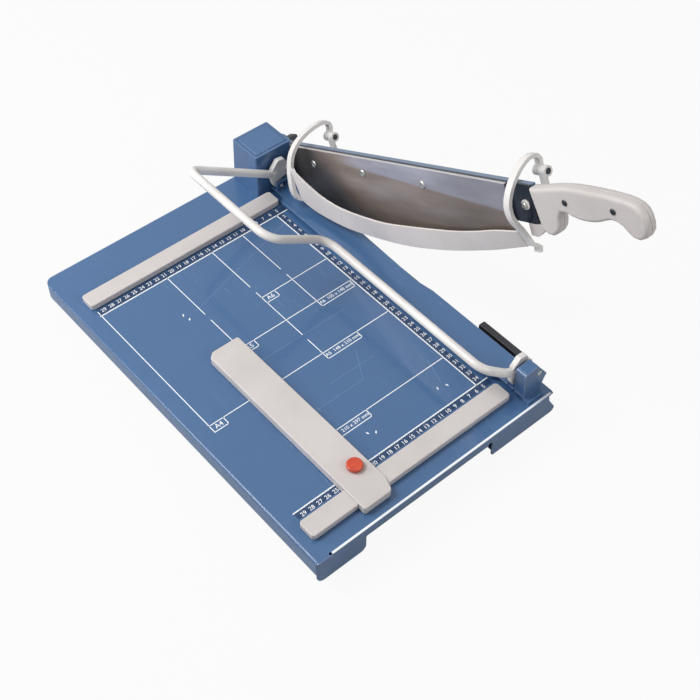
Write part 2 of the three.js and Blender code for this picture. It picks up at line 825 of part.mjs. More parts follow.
function addClampPins() {
  const rearFace = -rearLeverPlace - leverThickness * halfShare;
  const rearPin = fused(
    round("y", rearFace - seat - leverPinHeadHeight, rearFace - seat, -leverPinFromCut, leverPinHeight,
      leverPinHeadRadius),
    round("y", rearFace - seat - seat, blockFront + leverPinGrip - seat, -leverPinFromCut, leverPinHeight,
      leverPinRadius),
  );
  const frontFace = -frontLeverPlace + leverThickness * halfShare;
  const frontPin = fused(
    round("y", frontFace + seat, frontFace + seat + leverPinHeadHeight, -leverPinFromCut, leverPinHeight,
      leverPinHeadRadius),
    round("y", postFront - seat, frontFace + seat + seat, -leverPinFromCut, leverPinHeight, leverPinRadius),
  );
  add(base, "clamp_pin_rear", rearPin, zinc());
  add(base, "clamp_pin_front", frontPin, zinc());
}

// Cutting arm, modelled level with its length along -Y

function barOutline() {
  const tangEnd = barLength + handleLength * tangShare;
  return rounded([
    [0, barTop, 0],
    [-barLength, barTop, seat],
    [-barLength, tangTop, 0],
    [-tangEnd, tangTop, seat],
    [-tangEnd, -tangBottom, seat],
    [-barLength, -tangBottom, 0],
    [-barLength, -barHeelDrop],
    [-barHeelStart, -barHeelDrop],
    [-barHeelStart + barBlendRadius, -barBottom, barBlendRadius],
    [0, -barBottom, 0],
  ], barHeelRadius);
}

function bladeRing(share) {
  const along = -(bladeStart + bladeLength * share);
  const edge = -bladeDrop * valueAt(bladeEdgeShares, share, 1);
  return [
    new THREE.Vector3(bladeLeft, along, bladeTop),
    new THREE.Vector3(bladeRight, along, bladeTop),
    new THREE.Vector3(bladeRight, along, edge + bladeGrind),
    new THREE.Vector3(bladeLeft + bladeLand, along, edge),
    new THREE.Vector3(bladeLeft, along, edge),
  ];
}

function bladeScrew(place, grow) {
  const shank = round("x", bladeLeft - overrun * (grow > 0), barRight, -place, -bladeScrewDrop,
    bladeScrewRadius + grow);
  if (grow > 0) {
    return shank;
  }
  const head = round("x", -bladeScrewHeadHeight, 0, -place, -bladeScrewDrop, bladeScrewHeadRadius,
    roundSides, bladeScrewHeadRadius);
  return fused(head, round("x", -seat, barRight, -place, -bladeScrewDrop, bladeScrewRadius));
}

function addArm() {
  const holes = bladeScrewPlaces.map((place) => bladeScrew(place, seat));
  const boss = round("x", barLeft, barRight, 0, 0, barBossRadius, largeSides);
  const bore = round("x", -overrun, barRight + overrun, 0, 0, boltRadius + seat, roundSides);
  const hubHole = hubScrewHole(barRight + overrun);
  const flat = extruded(barOutline(), "x", barLeft, barRight);
  const rivets = rivetPlaces.map((place) => rivetShank(place, seat));
  add(arm, "arm_bar", trimmed(fused(flat, boss), bore, hubHole, ...holes, ...rivets), paint());

  const rings = [];
  for (let station = 0; station <= bladeStations; station += 1) {
    rings.push(bladeRing((station / bladeStations) ** bladeStationPower));
  }
  add(arm, "blade", trimmed(lofted(rings, ["x", "z"]), ...holes), steel());
  bladeScrewPlaces.forEach((place, index) => {
    add(arm, `blade_screw_${index + 1}`, bladeScrew(place, 0), zinc());
  });

  const padStart = frontHoopPlace + hoopWidth * halfShare + seat;
  const padLength = barLength + heelPadReach - padStart;
  const padOutline = heelPadShares.map(([along, down]) => [
    -padStart - padLength * along, -barHeelDrop - seat - heelPadDepth * down]);
  add(arm, "heel_pad", extruded(rounded(padOutline, seat), "x", barLeft, barRight), palePlastic());

  const washerLeft = barLeft - seat - hubWasherThickness;
  const washer = round("x", washerLeft, barLeft - seat, -hubPlace, -hubDrop, hubWasherRadius, roundSides);
  add(arm, "hub_washer", trimmed(washer, hubScrewHole(barRight)), whitePlastic());
  const headRight = washerLeft - seat;
  const headLeft = headRight - hubHeadHeight;
  const head = round("x", headLeft, headRight, -hubPlace, -hubDrop, hubHeadRadius, roundSides);
  const shank = round("x", headRight - seat, barRight, -hubPlace, -hubDrop, hubScrewRadius);
  add(arm, "hub_screw", fused(head, shank), zinc());
}

function hubScrewHole(right) {
  const left = barLeft - seat - hubWasherThickness - overrun;
  return round("x", left, right, -hubPlace, -hubDrop, hubScrewRadius + seat);
}

// Handle

function rivetShank(place, grow) {
  const reach = handleWidth * halfShare + overrun * (grow > 0);
  const radius = rivetRadius + grow;
  return round("x", barMiddle - reach, barMiddle + reach, -barLength - place, rivetRise, radius);
}

function addHandle() {
  const curve = new THREE.SplineCurve(handleShares.map(([along, rise]) => new THREE.Vector2(
    -barLength - seat - handleLength * along, -handleBase + handleHeight * rise)));
  curve.points.push(curve.points[0]);
  const outline = curve.getSpacedPoints(handleSteps).slice(0, -1);
  const left = barMiddle - handleWidth * halfShare;
  const right = barMiddle + handleWidth * halfShare;
  const whole = extruded(outline, "x", left, right, handleRounding, handleRoundSteps);
  const tangEnd = -barLength - handleLength * tangShare - seat;
  const tangRoom = block(barLeft - seat, barRight + seat, tangEnd, 0, -tangBottom - seat, tangTop + seat);
  const holes = rivetPlaces.map((place) => rivetShank(place, seat));
  const far = barLength + handleLength + overrun;
  const seamLeft = barMiddle - handleSeam * halfShare;
  const seamRight = barMiddle + handleSeam * halfShare;
  const leftHalf = block(left - overrun, seamLeft, -far, 0, -handleHeight, handleHeight);
  const rightHalf = block(seamRight, right + overrun, -far, 0, -handleHeight, handleHeight);
  add(arm, "handle_left", trimmed(common(whole, leftHalf), tangRoom, ...holes), palePlastic());
  add(arm, "handle_right", trimmed(common(whole, rightHalf), tangRoom, ...holes), palePlastic());
  rivetPlaces.forEach((place, index) => {
    const at = -barLength - place;
    const headLeft = left - seat;
    const headRight = right + seat;
    const dome = (low, high, lowRadius, highRadius) =>
      round("x", low, high, at, rivetRise, lowRadius, roundSides, highRadius);
    const rivet = fused(
      dome(headLeft - rivetHeadHeight, headLeft, rivetRadius, rivetHeadRadius),
      dome(headRight, headRight + rivetHeadHeight, rivetHeadRadius, rivetRadius),
      round("x", headLeft - seat, headRight + seat, at, rivetRise, rivetRadius),
    );
    add(arm, `handle_rivet_${index + 1}`, rivet, darkMetal());
  });
}

// Guard

function lugGeometry(place) {
  const low = -place - lugWidth;
  const root = barRight + seat;
  const floor = hingeRise - lugDrop;
  const inner = hingeOut - guardEyeRadius;
  const arms = rounded([
    [root, floor],
    [inner + lugThickness, floor],
    [inner + lugThickness, hingeRise],
    [inner, hingeRise],
    [inner, floor + lugThickness],
    [root, floor + lugThickness],
  ], seat);
  const eye = round("y", low, -place, hingeOut, hingeRise, guardEyeRadius, roundSides);
  const bore = round("y", low - overrun, overrun - place, hingeOut, hingeRise, guardPinRadius + seat);
  return trimmed(fused(extruded(arms, "y", low, -place), eye), bore);
}

function hoopGeometry(shares, place) {
  const rows = shares.map(([out, rise]) => [hingeOut - hoopReach * out, hingeRise + hoopReach * rise]);
  const low = -place - hoopWidth * halfShare;
  const high = -place + hoopWidth * halfShare;
  const band = extruded(bandOutline(rows, hoopThickness, hoopSteps), "y", low, high);
  const eye = round("y", low, high, hingeOut, hingeRise, guardEyeRadius, roundSides);
  const bore = round("y", low - overrun, high + overrun, hingeOut, hingeRise, guardPinRadius + seat);
  return trimmed(fused(band, eye), bore);
}

function shieldRing(share) {
  const start = rearHoopPlace + hoopWidth * halfShare + seat;
  const end = frontHoopPlace - hoopWidth * halfShare - seat;
  const along = -THREE.MathUtils.lerp(start, end, share);
  const half = shieldThickness * halfShare;
  const top = shieldReach * valueAt(shieldInnerShares, share, 1);
  const topOut = shieldReach * valueAt(shieldInnerShares, share, 2);
  const low = shieldReach * valueAt(shieldOuterShares, share, 1);
  const lowOut = shieldReach * valueAt(shieldOuterShares, share, 2);
  return [
    new THREE.Vector3(topOut - half, along, top),
    new THREE.Vector3(topOut + half, along, top),
    new THREE.Vector3(lowOut + half, along, low + shieldLipHeight),
    new THREE.Vector3(lowOut + shieldLip, along, low + shieldLipHeight),
    new THREE.Vector3(lowOut + shieldLip, along, low + half),
    new THREE.Vector3(lowOut + half, along, low),
    new THREE.Vector3(lowOut - half, along, low + half),
  ];
}

function addGuard() {
  const rearLug = rearHoopPlace + hoopWidth * halfShare + seat;
  const frontLug = frontHoopPlace + hoopWidth * halfShare + seat;
  add(arm, "guard_lug_rear", lugGeometry(rearLug), whitePlastic());
  add(arm, "guard_lug_front", lugGeometry(frontLug), whitePlastic());
  const pin = (place, lug) => round("y", -lug - lugWidth, -place + hoopWidth * halfShare + guardPinProud,
    hingeOut, hingeRise, guardPinRadius);
  add(arm, "guard_pin_rear", pin(rearHoopPlace, rearLug), darkMetal());
  add(arm, "guard_pin_front", pin(frontHoopPlace, frontLug), darkMetal());
  add(guard, "guard_hoop_rear", hoopGeometry(rearHoopShares, rearHoopPlace), whitePlastic());
  add(guard, "guard_hoop_front", hoopGeometry(frontHoopShares, frontHoopPlace), whitePlastic());
  const rings = [];
  for (let station = 0; station <= shieldStations; station += 1) {
    rings.push(shieldRing(station / shieldStations));
  }
  add(guard, "guard_shield", lofted(rings, ["x", "z"]), palePlastic());
}

// Clamp wire, its levers and the press plate

function wirePath() {
  return rounded([
    [-wireEndStart, -rearLeverPlace, 0],
    [-wireOuterReach, -rearLeverPlace, wireCornerRadius],
    [-wireOuterReach, -rearLeverPlace - wireStepPlace, wireStepRadius],
    [-wireInnerReach, -rearLeverPlace - wireStepPlace, wireStepRadius],
    [-wireInnerReach, -rearLeverPlace - wireFrontRun, wireFrontRadius],
    [-wireEndStart - wireFrontRadius * halfShare, -frontLeverPlace, wireFrontRadius],
    [-wireEndStart, -frontLeverPlace, 0],
  ]);
}

// A ring of the wire's section square to the path at each corner of it
function wireGeometry() {
  const corners = wirePath().map((point) => new THREE.Vector3(point.x, point.y, 0));
  const rings = corners.map((corner, index) => {
    const before = corners[Math.max(0, index - 1)];
    const after = corners[Math.min(corners.length - 1, index + 1)];
    const along = after.clone().sub(before).normalize();
    const across = new THREE.Vector3(-along.y, along.x, 0);
    const ring = [];
    for (let side = 0; side < wireSides; side += 1) {
      const turn = (2 * Math.PI * side) / wireSides;
      ring.push(corner.clone()
        .addScaledVector(across, wireRadius * Math.cos(turn))
        .add(new THREE.Vector3(0, 0, wireRadius * Math.sin(turn))));
    }
    return ring;
  });
  return lofted(rings, ["y", "z"]);
}

function leverGeometry(place, studSide) {
  const low = -place - leverThickness * halfShare;
  const high = -place + leverThickness * halfShare;
  const left = -kneeFromCut - leverBossRadius;
  const points = leverShares.map(([share, rise]) => [
    left + leverWidth * share, leverLow + (leverTop - leverLow) * rise]);
  const plate = extruded(rounded(points, leverRounding), "y", low, high);
  const tip = round("y", low, high, -leverPinFromCut, leverPinHeight, leverTipRadius, roundSides);
  const foot = round("y", low, high, -studFromCut, studHeight, studFootRadius, roundSides);
  const boss = round("y", low - leverBossProud, high, -kneeFromCut, kneeHeight, leverBossRadius, roundSides);
  const inner = studSide < 0 ? low : high;
  const reach = studReach(studSide);
  const stud = round("y", Math.min(inner, reach) - (studSide > 0 ? seat : 0),
    Math.max(inner, reach) + (studSide < 0 ? seat : 0), -studFromCut, studHeight, studRadius);
  const bore = round("y", low - overrun, high + overrun, -leverPinFromCut, leverPinHeight,
    leverPinRadius + seat);
  return trimmed(fused(plate, tip, foot, boss, stud), bore);
}

// Ends of the plate, and the inner faces of its lugs, which the lever studs end flush with
function plateEnds() {
  return [postBack + plateFrontGap, blockFront - plateRearGap];
}

function lugFaces() {
  const front = -frontLeverPlace + leverThickness * halfShare + lugLeverGap + lugPlateThickness;
  const back = -rearLeverPlace - leverThickness * halfShare - lugLeverGap - lugPlateThickness;
  return [front, back];
}

function studReach(studSide) {
  const [front, back] = lugFaces();
  return studSide < 0 ? back : front;
}

function slotCutter(low, high) {
  const radius = studRadius + slotClearance;
  const right = -studFromCut + slotTravel;
  return fused(
    round("y", low, high, -studFromCut, studHeight, radius),
    round("y", low, high, right, studHeight, radius),
    block(-studFromCut, right, low, high, studHeight - radius, studHeight + radius),
  );
}

function plateGeometry() {
  const [front, back] = plateEnds();
  const length = back - front;
  const [waistStart, waistDeep, waistEnd] = plateWaistShares.map((share) => back - length * share);
  const outline = rounded([
    [-plateEndEdge, front, 0],
    [-plateOuterGap, front],
    [-plateOuterGap, waistEnd, 0],
    [-plateOuterGap - plateWaist, waistDeep, 0],
    [-plateOuterGap, waistStart, 0],
    [-plateOuterGap, back],
    [-plateEndEdge, back, 0],
    [-plateEndEdge, back - plateEndLength],
    [-plateInnerEdge, back - plateEndLength - plateCornerRadius],
    [-plateInnerEdge, front + plateEndLength + plateCornerRadius],
    [-plateEndEdge, front + plateEndLength],
  ], plateCornerRadius);
  const plate = extruded(outline, "z", plateRise, plateTop);
  const ridgeInset = plateEndLength + plateCornerRadius + plateCornerRadius;
  const ridge = block(-plateInnerEdge, -plateInnerEdge + plateRidgeWidth, front + ridgeInset,
    back - ridgeInset, plateTop - seat, plateTop + plateRidgeHeight);
  const lugLeft = -studFromCut - studRadius - slotClearance - lugMargin;
  const lugRight = -studFromCut + slotTravel + studRadius + slotClearance + lugMargin;
  const lugShape = rounded([
    [lugLeft, plateRise, 0], [lugRight, plateRise, 0],
    [lugRight, plateRise + lugPlateHeight], [lugLeft, plateRise + lugPlateHeight],
  ], lugMargin);
  const [frontFace, rearFace] = lugFaces();
  const frontLug = extruded(lugShape, "y", frontFace - lugPlateThickness, frontFace);
  const rearLug = extruded(lugShape, "y", rearFace, rearFace + lugPlateThickness);
  return trimmed(
    fused(plate, ridge, frontLug, rearLug),
    slotCutter(frontFace - lugPlateThickness - seat, frontFace + seat),
    slotCutter(rearFace - seat, rearFace + lugPlateThickness + seat),
  );
}

function addClamp() {
  add(wire, "clamp_wire", wireGeometry(), whitePlastic());
  add(clamp, "clamp_lever_rear", leverGeometry(rearLeverPlace, -1), whitePlastic());
  add(clamp, "clamp_lever_front", leverGeometry(frontLeverPlace, 1), whitePlastic());
  add(base, "press_plate", plateGeometry(), paint());
}

// Backgauge

function addGauge() {
  const right = -gaugeFromCut;
  const left = right - gaugeWidth;
  const hookFront = frontFenceFront - seat - gaugeHook;
  const tip = hookFront + gaugeReach + gaugeWidth;
  const outline = rounded([
    [left, hookFront],
    [left + gaugeHeadWidth, hookFront, gaugeChamfer],
    [right, hookFront + gaugeHeadSlope, gaugeChamfer],
    [right, tip],
    [left + gaugeChamfer, tip],
    [left, tip - gaugeChamfer],
  ], gaugeRounding);
  const body = extruded(outline, "z", gaugeRise, gaugeTop, gaugeBevel);
  const railRoom = block(left - overrun, right + overrun, frontFenceFront - seat, frontFenceBack + seat,
    -overrun, fenceHeight + seat);
  const pocket = block(left + gaugeWall, right - gaugeWall, frontFenceBack, tip - gaugeChamfer - gaugeWall,
    -overrun, fenceHeight + seat);
  const knobPlace = frontFenceBack + knobFromFence;
  const studHole = round("z", 0, gaugeTop + overrun, -knobFromCut, knobPlace, clampStudRadius + seat);
  add(base, "backgauge", trimmed(body, railRoom, pocket, studHole), palePlastic());

  const knobLow = gaugeTop + seat;
  const knobHigh = knobLow + knobHeight;
  const knobProfile = rounded([
    [0, 0, 0], [knobRadius - knobRounding * halfShare, 0, seat], [knobRadius, knobHeight * halfShare, seat],
    [knobRadius, knobHeight], [0, knobHeight, 0],
  ], knobRounding);
  const knobBody = new THREE.LatheGeometry(knobProfile, roundSides);
  knobBody.rotateX(Math.PI / 2);
  knobBody.translate(-knobFromCut, knobPlace, knobLow);
  const socketHigh = knobLow + knobHeight * knobSocketShare;
  const socket = round("z", knobLow - overrun, socketHigh, -knobFromCut, knobPlace, clampStudRadius + seat);
  add(base, "gauge_knob", trimmed(knobBody, socket), knobPlastic());
  const shoe = block(-knobFromCut - shoeWidth * halfShare, -knobFromCut + shoeWidth * halfShare,
    frontFenceBack + seat, frontFenceBack + seat + shoeDepth, shoeLow, shoeHigh);
  const stud = round("z", shoeLow, socketHigh - seat, -knobFromCut, knobPlace, clampStudRadius);
  add(base, "gauge_shoe", fused(shoe, stud), zinc());
}

addTable();
addFences();
addPivot();
addPost();
addGuide();
addClampPins();
addArm();
addHandle();
addGuard();
addClamp();
addGauge();

// Set down so that zero is the middle of the base
group.updateMatrixWorld(true);
const bounds = new THREE.Box3().setFromObject(group, true);
const middle = bounds.getCenter(new THREE.Vector3());
group.position.set(-middle.x, -middle.y, -bounds.min.z);

export default group;
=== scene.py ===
# Guillotine paper cutter: finishes, printed scales, edges and small hardware on the fixed frame.
import json
import math

import bmesh
import bpy
from mathutils import Matrix, Vector


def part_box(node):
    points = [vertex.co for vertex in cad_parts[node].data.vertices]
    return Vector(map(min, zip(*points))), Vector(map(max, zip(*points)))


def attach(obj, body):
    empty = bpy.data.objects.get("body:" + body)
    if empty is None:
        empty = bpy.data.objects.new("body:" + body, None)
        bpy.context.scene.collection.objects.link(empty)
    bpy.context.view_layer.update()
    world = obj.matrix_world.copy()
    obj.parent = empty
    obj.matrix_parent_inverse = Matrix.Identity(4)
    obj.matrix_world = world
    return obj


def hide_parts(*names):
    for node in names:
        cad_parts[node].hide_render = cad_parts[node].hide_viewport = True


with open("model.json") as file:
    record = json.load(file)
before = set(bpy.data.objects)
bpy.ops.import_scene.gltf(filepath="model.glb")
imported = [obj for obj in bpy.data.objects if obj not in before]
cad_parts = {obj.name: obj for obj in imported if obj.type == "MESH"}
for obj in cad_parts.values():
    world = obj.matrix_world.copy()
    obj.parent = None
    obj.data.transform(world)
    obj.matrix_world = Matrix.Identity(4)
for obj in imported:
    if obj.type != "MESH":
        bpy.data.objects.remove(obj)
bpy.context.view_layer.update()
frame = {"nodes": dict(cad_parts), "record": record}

MM = 0.001
TAU = 2 * math.pi

# Places that the frame gives: the cutting plane, the arm's pivot and the table top
PIVOT_FROM_BACK = 24 * MM
PIVOT_RISE = 26 * MM
ARM_RAISE = math.radians(27)
BED_LOW, BED_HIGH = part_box("bed")
CUT_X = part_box("pivot_block")[1].x
PIVOT_Y = BED_HIGH.y - PIVOT_FROM_BACK
TOP_Z = BED_HIGH.z
PIVOT = Vector((CUT_X, PIVOT_Y, TOP_Z + PIVOT_RISE))
ARM_SHIFT = -(Matrix.Rotation(ARM_RAISE, 3, "X") @ PIVOT)

# Camera, as solved from the printed sheet outlines
CAMERA_FROM_CUT = (-687.3 * MM, -935.1 * MM, 1023.3 * MM)
CAMERA_AZIMUTH = math.radians(-40.48)
CAMERA_DOWN = math.radians(49.66)
LENS = 65.03
SENSOR = 36
CLIP_END = 20

# Studio: each lamp's place and size in metres and its power in watts, all turned to one point
LAMPS = {
    "key": ((-0.9, 0.7, 1.7), (0.9, 0.9), 28),
    "side_strip": ((-0.90, 0.80, 0.60), (1.1, 0.14), 5.5),
    "front_strip": ((0.35, -1.00, 0.80), (1.0, 0.08), 3.2),
}
LAMP_TARGET = (0, 0, 0.05)
WHITE = (1, 1, 1, 1)
WORLD_LIGHT = 0.28
WORLD_SEEN = 1.0
FLOOR_REACH = 6
FLOOR_GREY = (0.5, 0.5, 0.5, 1)
FLOOR_ROUGHNESS = 0.9
FLOOR_GLOW = 0.93
FLOOR_IN_GLOSS = 0.3

# Merging of the frame's solids, and how far a corner may be from the box to count as on it
MERGE_DISTANCE = 0.002 * MM
FLAT_ANGLE = math.radians(1)
ON_BOX = 0.1 * MM

# Rounding of the table's left fold and breaking of the sharp edges, with widths in millimetres
SIDE_FOLD = 5.0 * MM
SIDE_FOLD_STEPS = 6
EDGE_STEPS = 3
EDGE_ANGLE = math.radians(35)
SMOOTH_ANGLE = math.radians(32)
DEFAULT_EDGE = 0.25
EDGE_WIDTHS = {
    "bed": 0.35, "pivot_block": 1.2, "block_cap": 0.5, "front_bracket": 0.8, "guide_bracket": 0.4,
    "press_plate": 0.5, "arm_bar": 0.8, "back_fence": 0.6, "front_fence": 0.6, "backgauge": 0.6,
    "blade_guide": 0.6, "lower_blade": 0.25, "clamp_lever_rear": 1.0, "clamp_lever_front": 1.0,
    "handle_left": 0.5, "handle_right": 0.5, "guard_hoop_rear": 1.1, "guard_hoop_front": 1.1,
    "guard_shield": 0.6, "blade": 0.12, "guard_lug_rear": 0.6, "guard_lug_front": 0.6,
    "gauge_shoe": 0.4, "gauge_knob": 0.9, "pivot_nut": 0.8, "heel_pad": 1.0,
}

# Screws of the raised arm and the lower blade: head radius, head height and shank radius
BLADE_SCREW = (4.6 * MM, 1.3 * MM, 2.5 * MM)
HUB_SCREW = (3.2 * MM, 2.2 * MM, 2.2 * MM)
LOWER_SCREW = (4.5 * MM, 2.6 * MM, 2.5 * MM)
SCREWS = {
    "blade_screws": (["blade_screw_1", "blade_screw_2", "blade_screw_3"], BLADE_SCREW),
    "hub_screw_head": (["hub_screw"], HUB_SCREW),
    "lower_blade_screws": ([f"lower_blade_screw_{number}" for number in range(1, 5)], LOWER_SCREW),
}
SCREW_NODES = [node for nodes, sizes in SCREWS.values() for node in nodes]
SCREW_SIDES = 30
SHANK_END_SHARE = 0.9
SHANK_CHAMFER = 0.3 * MM

# A button head from its seat up, in shares of its radius and height, and then its socket, in
# shares of the socket's radius and the head's height, with the number of its flats
HEAD_OUTLINE = [(0.97, 0.0), (1.0, 0.2), (0.93, 0.6), (0.76, 0.9), (0.6, 1.0)]
SOCKET_SHARE = 0.46
SOCKET_OUTLINE = [(1.12, 1.0, 0), (1.0, 0.9, 6), (1.0, 0.25, 6), (0.2, 0.15, 6)]

# Fine ribs across the black guide
RIB_PITCH = 2.5 * MM
RIB_WIDTH = 0.9 * MM
RIB_PROUD = 0.18 * MM
RIB_FROM_END = 4 * MM
RIB_FROM_SIDE = 0.8 * MM

# Upright ribs round the knob
KNOB_RIB_COUNT = 30
KNOB_RIB_SIDES = 8
KNOB_RIB_RADIUS = 0.42 * MM
KNOB_RIB_HEIGHT = 2.6 * MM
KNOB_RIB_SUNK_SHARE = 0.4
KNOB_RIB_BELOW_TOP = 2.5 * MM

# Painted shade: a thin dark line round the foot of the raised cap of the pivot block
CAP_SHADE_WIDTH = 0.7 * MM
CAP_SHADE_RISE = 0.02 * MM

# Print, in millimetres from the cutting plane and from the pivot's axis: layers and line widths
INK_RISE = 0.03
GUIDE_RISE = INK_RISE / 2
BAND_RISE = INK_RISE / 3
INK_THICKNESS = 0.05
TICK_RISE = INK_RISE + INK_THICKNESS + 0.01
LINE_WIDTH = 1.0
RULER_LINE_WIDTH = 1.4
THIN_WIDTH = 0.35

# Letters: share of the font's size that a capital takes, swelling of strokes, and curve steps
CAPITAL_SHARE = 0.7
STROKE_SWELL = 0.008
LETTER_STEPS = 3

# Printed sheet outlines, with the gaps in each upright line, and their labels
SHEET_SIZES = {"A4": (210, 297), "A5": (148, 210), "A6": (105, 148)}
PRINT_ZERO_Y = -48.7
TOP_GAP = (-132.5, -144)
LOW_GAP = (-224, -234)
LINE_GAPS = {105: [TOP_GAP], 148: [TOP_GAP, LOW_GAP], 210: [TOP_GAP], 297: []}
LEFT_LINE_BACK = -55
LEFT_LINE_FRONT = -267.5
LABEL_DEPTH = 9.8
LABEL_WIDTH = 47
TAG_WIDTH = 17.5
LABEL_TEXT = 4.2
TAG_TEXT = 5.6

# Rulers, with their first printed numbers, and ticks as share of a centimetre, length and width
SIDE_RULER = -54.75
BACK_RULER = -62.0
FRONT_RULER = -395.5
RULER_LEFT = -298
RULER_RIGHT = -39.5
RULER_PITCH = 10
FIRST_LEVEL = 5
LAST_LEVEL = int(-RULER_LEFT // RULER_PITCH)
FIRST_UPRIGHT = 2
LAST_UPRIGHT = int((PRINT_ZERO_Y - FRONT_RULER) // RULER_PITCH)
TICK_LONG = 2.2
TICKS = ((0.1, 0.9, 0.16), (0.5, 1.6, 0.3), (1.0, TICK_LONG, 0.3))
DIGIT_HEIGHT = 4.6
DIGIT_MIDDLE = TICK_LONG + 1.5 + DIGIT_HEIGHT / 2
BAND_DEPTH = 8.4

# Painted highlight along the front fold, drawn as a pale ink line
FOLD_HIGHLIGHT_START = 21
FOLD_HIGHLIGHT_END = 10
FOLD_HIGHLIGHT_WIDTH = 2.4
FOLD_HIGHLIGHT_SHARE = 0.62

# Pale centre and angle lines, from point to point
GUIDE_LINES = [
    ((-248, -225), (-91, -225)), ((-238, -313.5), (-138, -313.5)), ((-138, -312), (-118, -277)),
    ((-215, -123), (-56, -78)), ((-80, -370), (-70, -338)), ((-168, -296), (-110, -296)),
]

# Small leaf-shaped marks: place and turn of each, half length, and width as a share of length
MARKS = [
    (-229, -119, 1.1), (-227, -128, 0.9), (-181, -369, 2.0),
    (-173.5, -373.5, 0.9), (-88, -372.5, 1.3), (-77.5, -375.5, 1.9),
]
MARK_REACH = 2.4
MARK_SHARE = 0.42

# Colours, as linear red, green and blue. A pair is two tones that a noise mixes.
PAINT_BLUE = (0.036, 0.102, 0.236), (0.050, 0.132, 0.288)
# Painted shade: near-black on the bar's side towards the blade
BAR_SIDE_SHADE = (0.003, 0.006, 0.016), (0.006, 0.012, 0.030)
BAR_BLUE = (0.030, 0.085, 0.19), (0.045, 0.12, 0.26)
# Painted highlight: pale grey-blue on the bar's top
BAR_TOP_HIGHLIGHT = (0.115, 0.17, 0.27), (0.19, 0.25, 0.36)
BLADE_BROWN = (0.215, 0.165, 0.132), (0.320, 0.262, 0.228)
# Painted reflection: a pale wedge on the blade near its top
BLADE_PALE_REFLECTION = (0.28, 0.27, 0.30), (0.41, 0.395, 0.44)
# Darker steel towards the pivot end of the blade
BLADE_REAR_DARK = (0.055, 0.050, 0.048)
STOP_GREY = (0.585, 0.545, 0.53), (0.64, 0.60, 0.585)
SHIELD_GREY = (0.74, 0.685, 0.66), (0.80, 0.745, 0.72)
COAT_WHITE = (0.74, 0.71, 0.69), (0.84, 0.82, 0.80)
ZINC = (0.62, 0.62, 0.60)
DARK_ZINC = (0.055, 0.06, 0.07)
GUIDE_BLACK = (0.012, 0.013, 0.017)
FOOT_BLACK = (0.016, 0.016, 0.018)
KNOB_ORANGE = (0.52, 0.040, 0.008), (0.68, 0.070, 0.012)
# White of the print, also used for the painted highlight along the front fold
WHITE_INK_AND_HIGHLIGHT = (0.92, 0.95, 0.98)
INK_FAINT = (0.20, 0.32, 0.50), (0.10, 0.21, 0.40)
# Navy of the ruler bands, also used for the painted shade round the block's cap
NAVY_INK_AND_SHADE = (0.014, 0.040, 0.105), (0.024, 0.062, 0.150)
PALEST = 0.95

# Tints over a body colour: the colour, and the largest share of it that shows
PAINT_SPECK = (0.12, 0.235, 0.42), 0.16
PAINT_MARK = (0.24, 0.36, 0.54), 0.35
# Painted highlight along the edges of the blue paint
PAINT_EDGE_HIGHLIGHT = (0.34, 0.43, 0.66), 0.5
BAR_MARK = (0.30, 0.36, 0.45), 0.3
BLADE_BRUSHED = (0.42, 0.40, 0.39), 0.22
BLADE_TOP_EDGE = (0.62, 0.60, 0.60), 0.8
COAT_RUBBED = (0.52, 0.49, 0.47), 0.35
ZINC_EDGE = (0.86, 0.86, 0.84), 0.5
BLACK_EDGE = (0.10, 0.105, 0.12), 0.4
# Painted shade on the knob's rim
KNOB_RIM_SHADE = (0.22, 0.014, 0.006), 0.6
INK_THIN = (0.50, 0.60, 0.74), 0.25

# Tones of a finish's own colour: the factor on it, and the largest share of it that shows
PLASTIC_SPECK = 0.72, 0.16
# Painted highlight along the edges of moulded plastic
PLASTIC_EDGE_HIGHLIGHT = 1.5, 0.85
ZINC_CELLS = 0.66, 0.8
BLACK_BLOOM = 2.6, 0.5

# Grain that several finishes share: noise scales, and the depth of the finest bumps
PEEL_SCALE = 900.0
PEEL_GRAIN_SCALE = 3800.0
INK_PATCH_SCALE = 260.0
INK_GRAIN_SCALE = 2600.0
FINE_DEPTH = 0.01 * MM

# Spans of a noise's value: most of it, and the middle that parts two tones softly
NOISE_MOST = (0.3, 0.7)
NOISE_MIDDLE = (0.35, 0.65)

# Hairline marks: shrinking along the mark, half width of the line, and scale and span of patches
SCRATCH_SHRINK = 0.04
SCRATCH_WIDTH = 0.006
SCRATCH_PATCHES = 14.0
SCRATCH_SPAN = (0.54, 0.62)

# Edge finding: cosines of the turn at which an edge begins and is full
EDGE_COSINES = (0.995, 0.86)
EDGE_SAMPLES = 6

# Finishes on the arm's own places, which are X out of the cut, Y back along the arm and Z up
# square to it: the bar's painted shade on its side and painted highlight on its top, and the blade's painted
# reflection, highlight and shade
BAR_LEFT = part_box("arm_bar")[0].x - CUT_X
BAR_SIDE_SPAN = (BAR_LEFT + 2.2 * MM, BAR_LEFT + 3.0 * MM)
BAR_TOP_SPAN = (9.8 * MM, 10.4 * MM)
BLADE_TOP_SPAN = (10.0 * MM, 10.3 * MM)
WEDGE_SLOPE = 0.074
WEDGE_RISE = 8.8 * MM
WEDGE_BLUR = 1.5 * MM
WEDGE_START = (-115 * MM, -165 * MM)
REAR_LEAN = -0.875
REAR_WANDER = 0.05
REAR_SPAN = (-125 * MM, -55 * MM)
# Painted highlight: brighter blade steel over the rear half of the arm
BLADE_SHEEN_SPAN = (-260 * MM, -330 * MM)
BLADE_SHEEN_GAIN = 1.55
# Painted shade: darker blade steel towards the cutting edge
BLADE_SHADE_SPAN = (-18 * MM, -62 * MM)
BLADE_SHADE_LOSS = 0.32


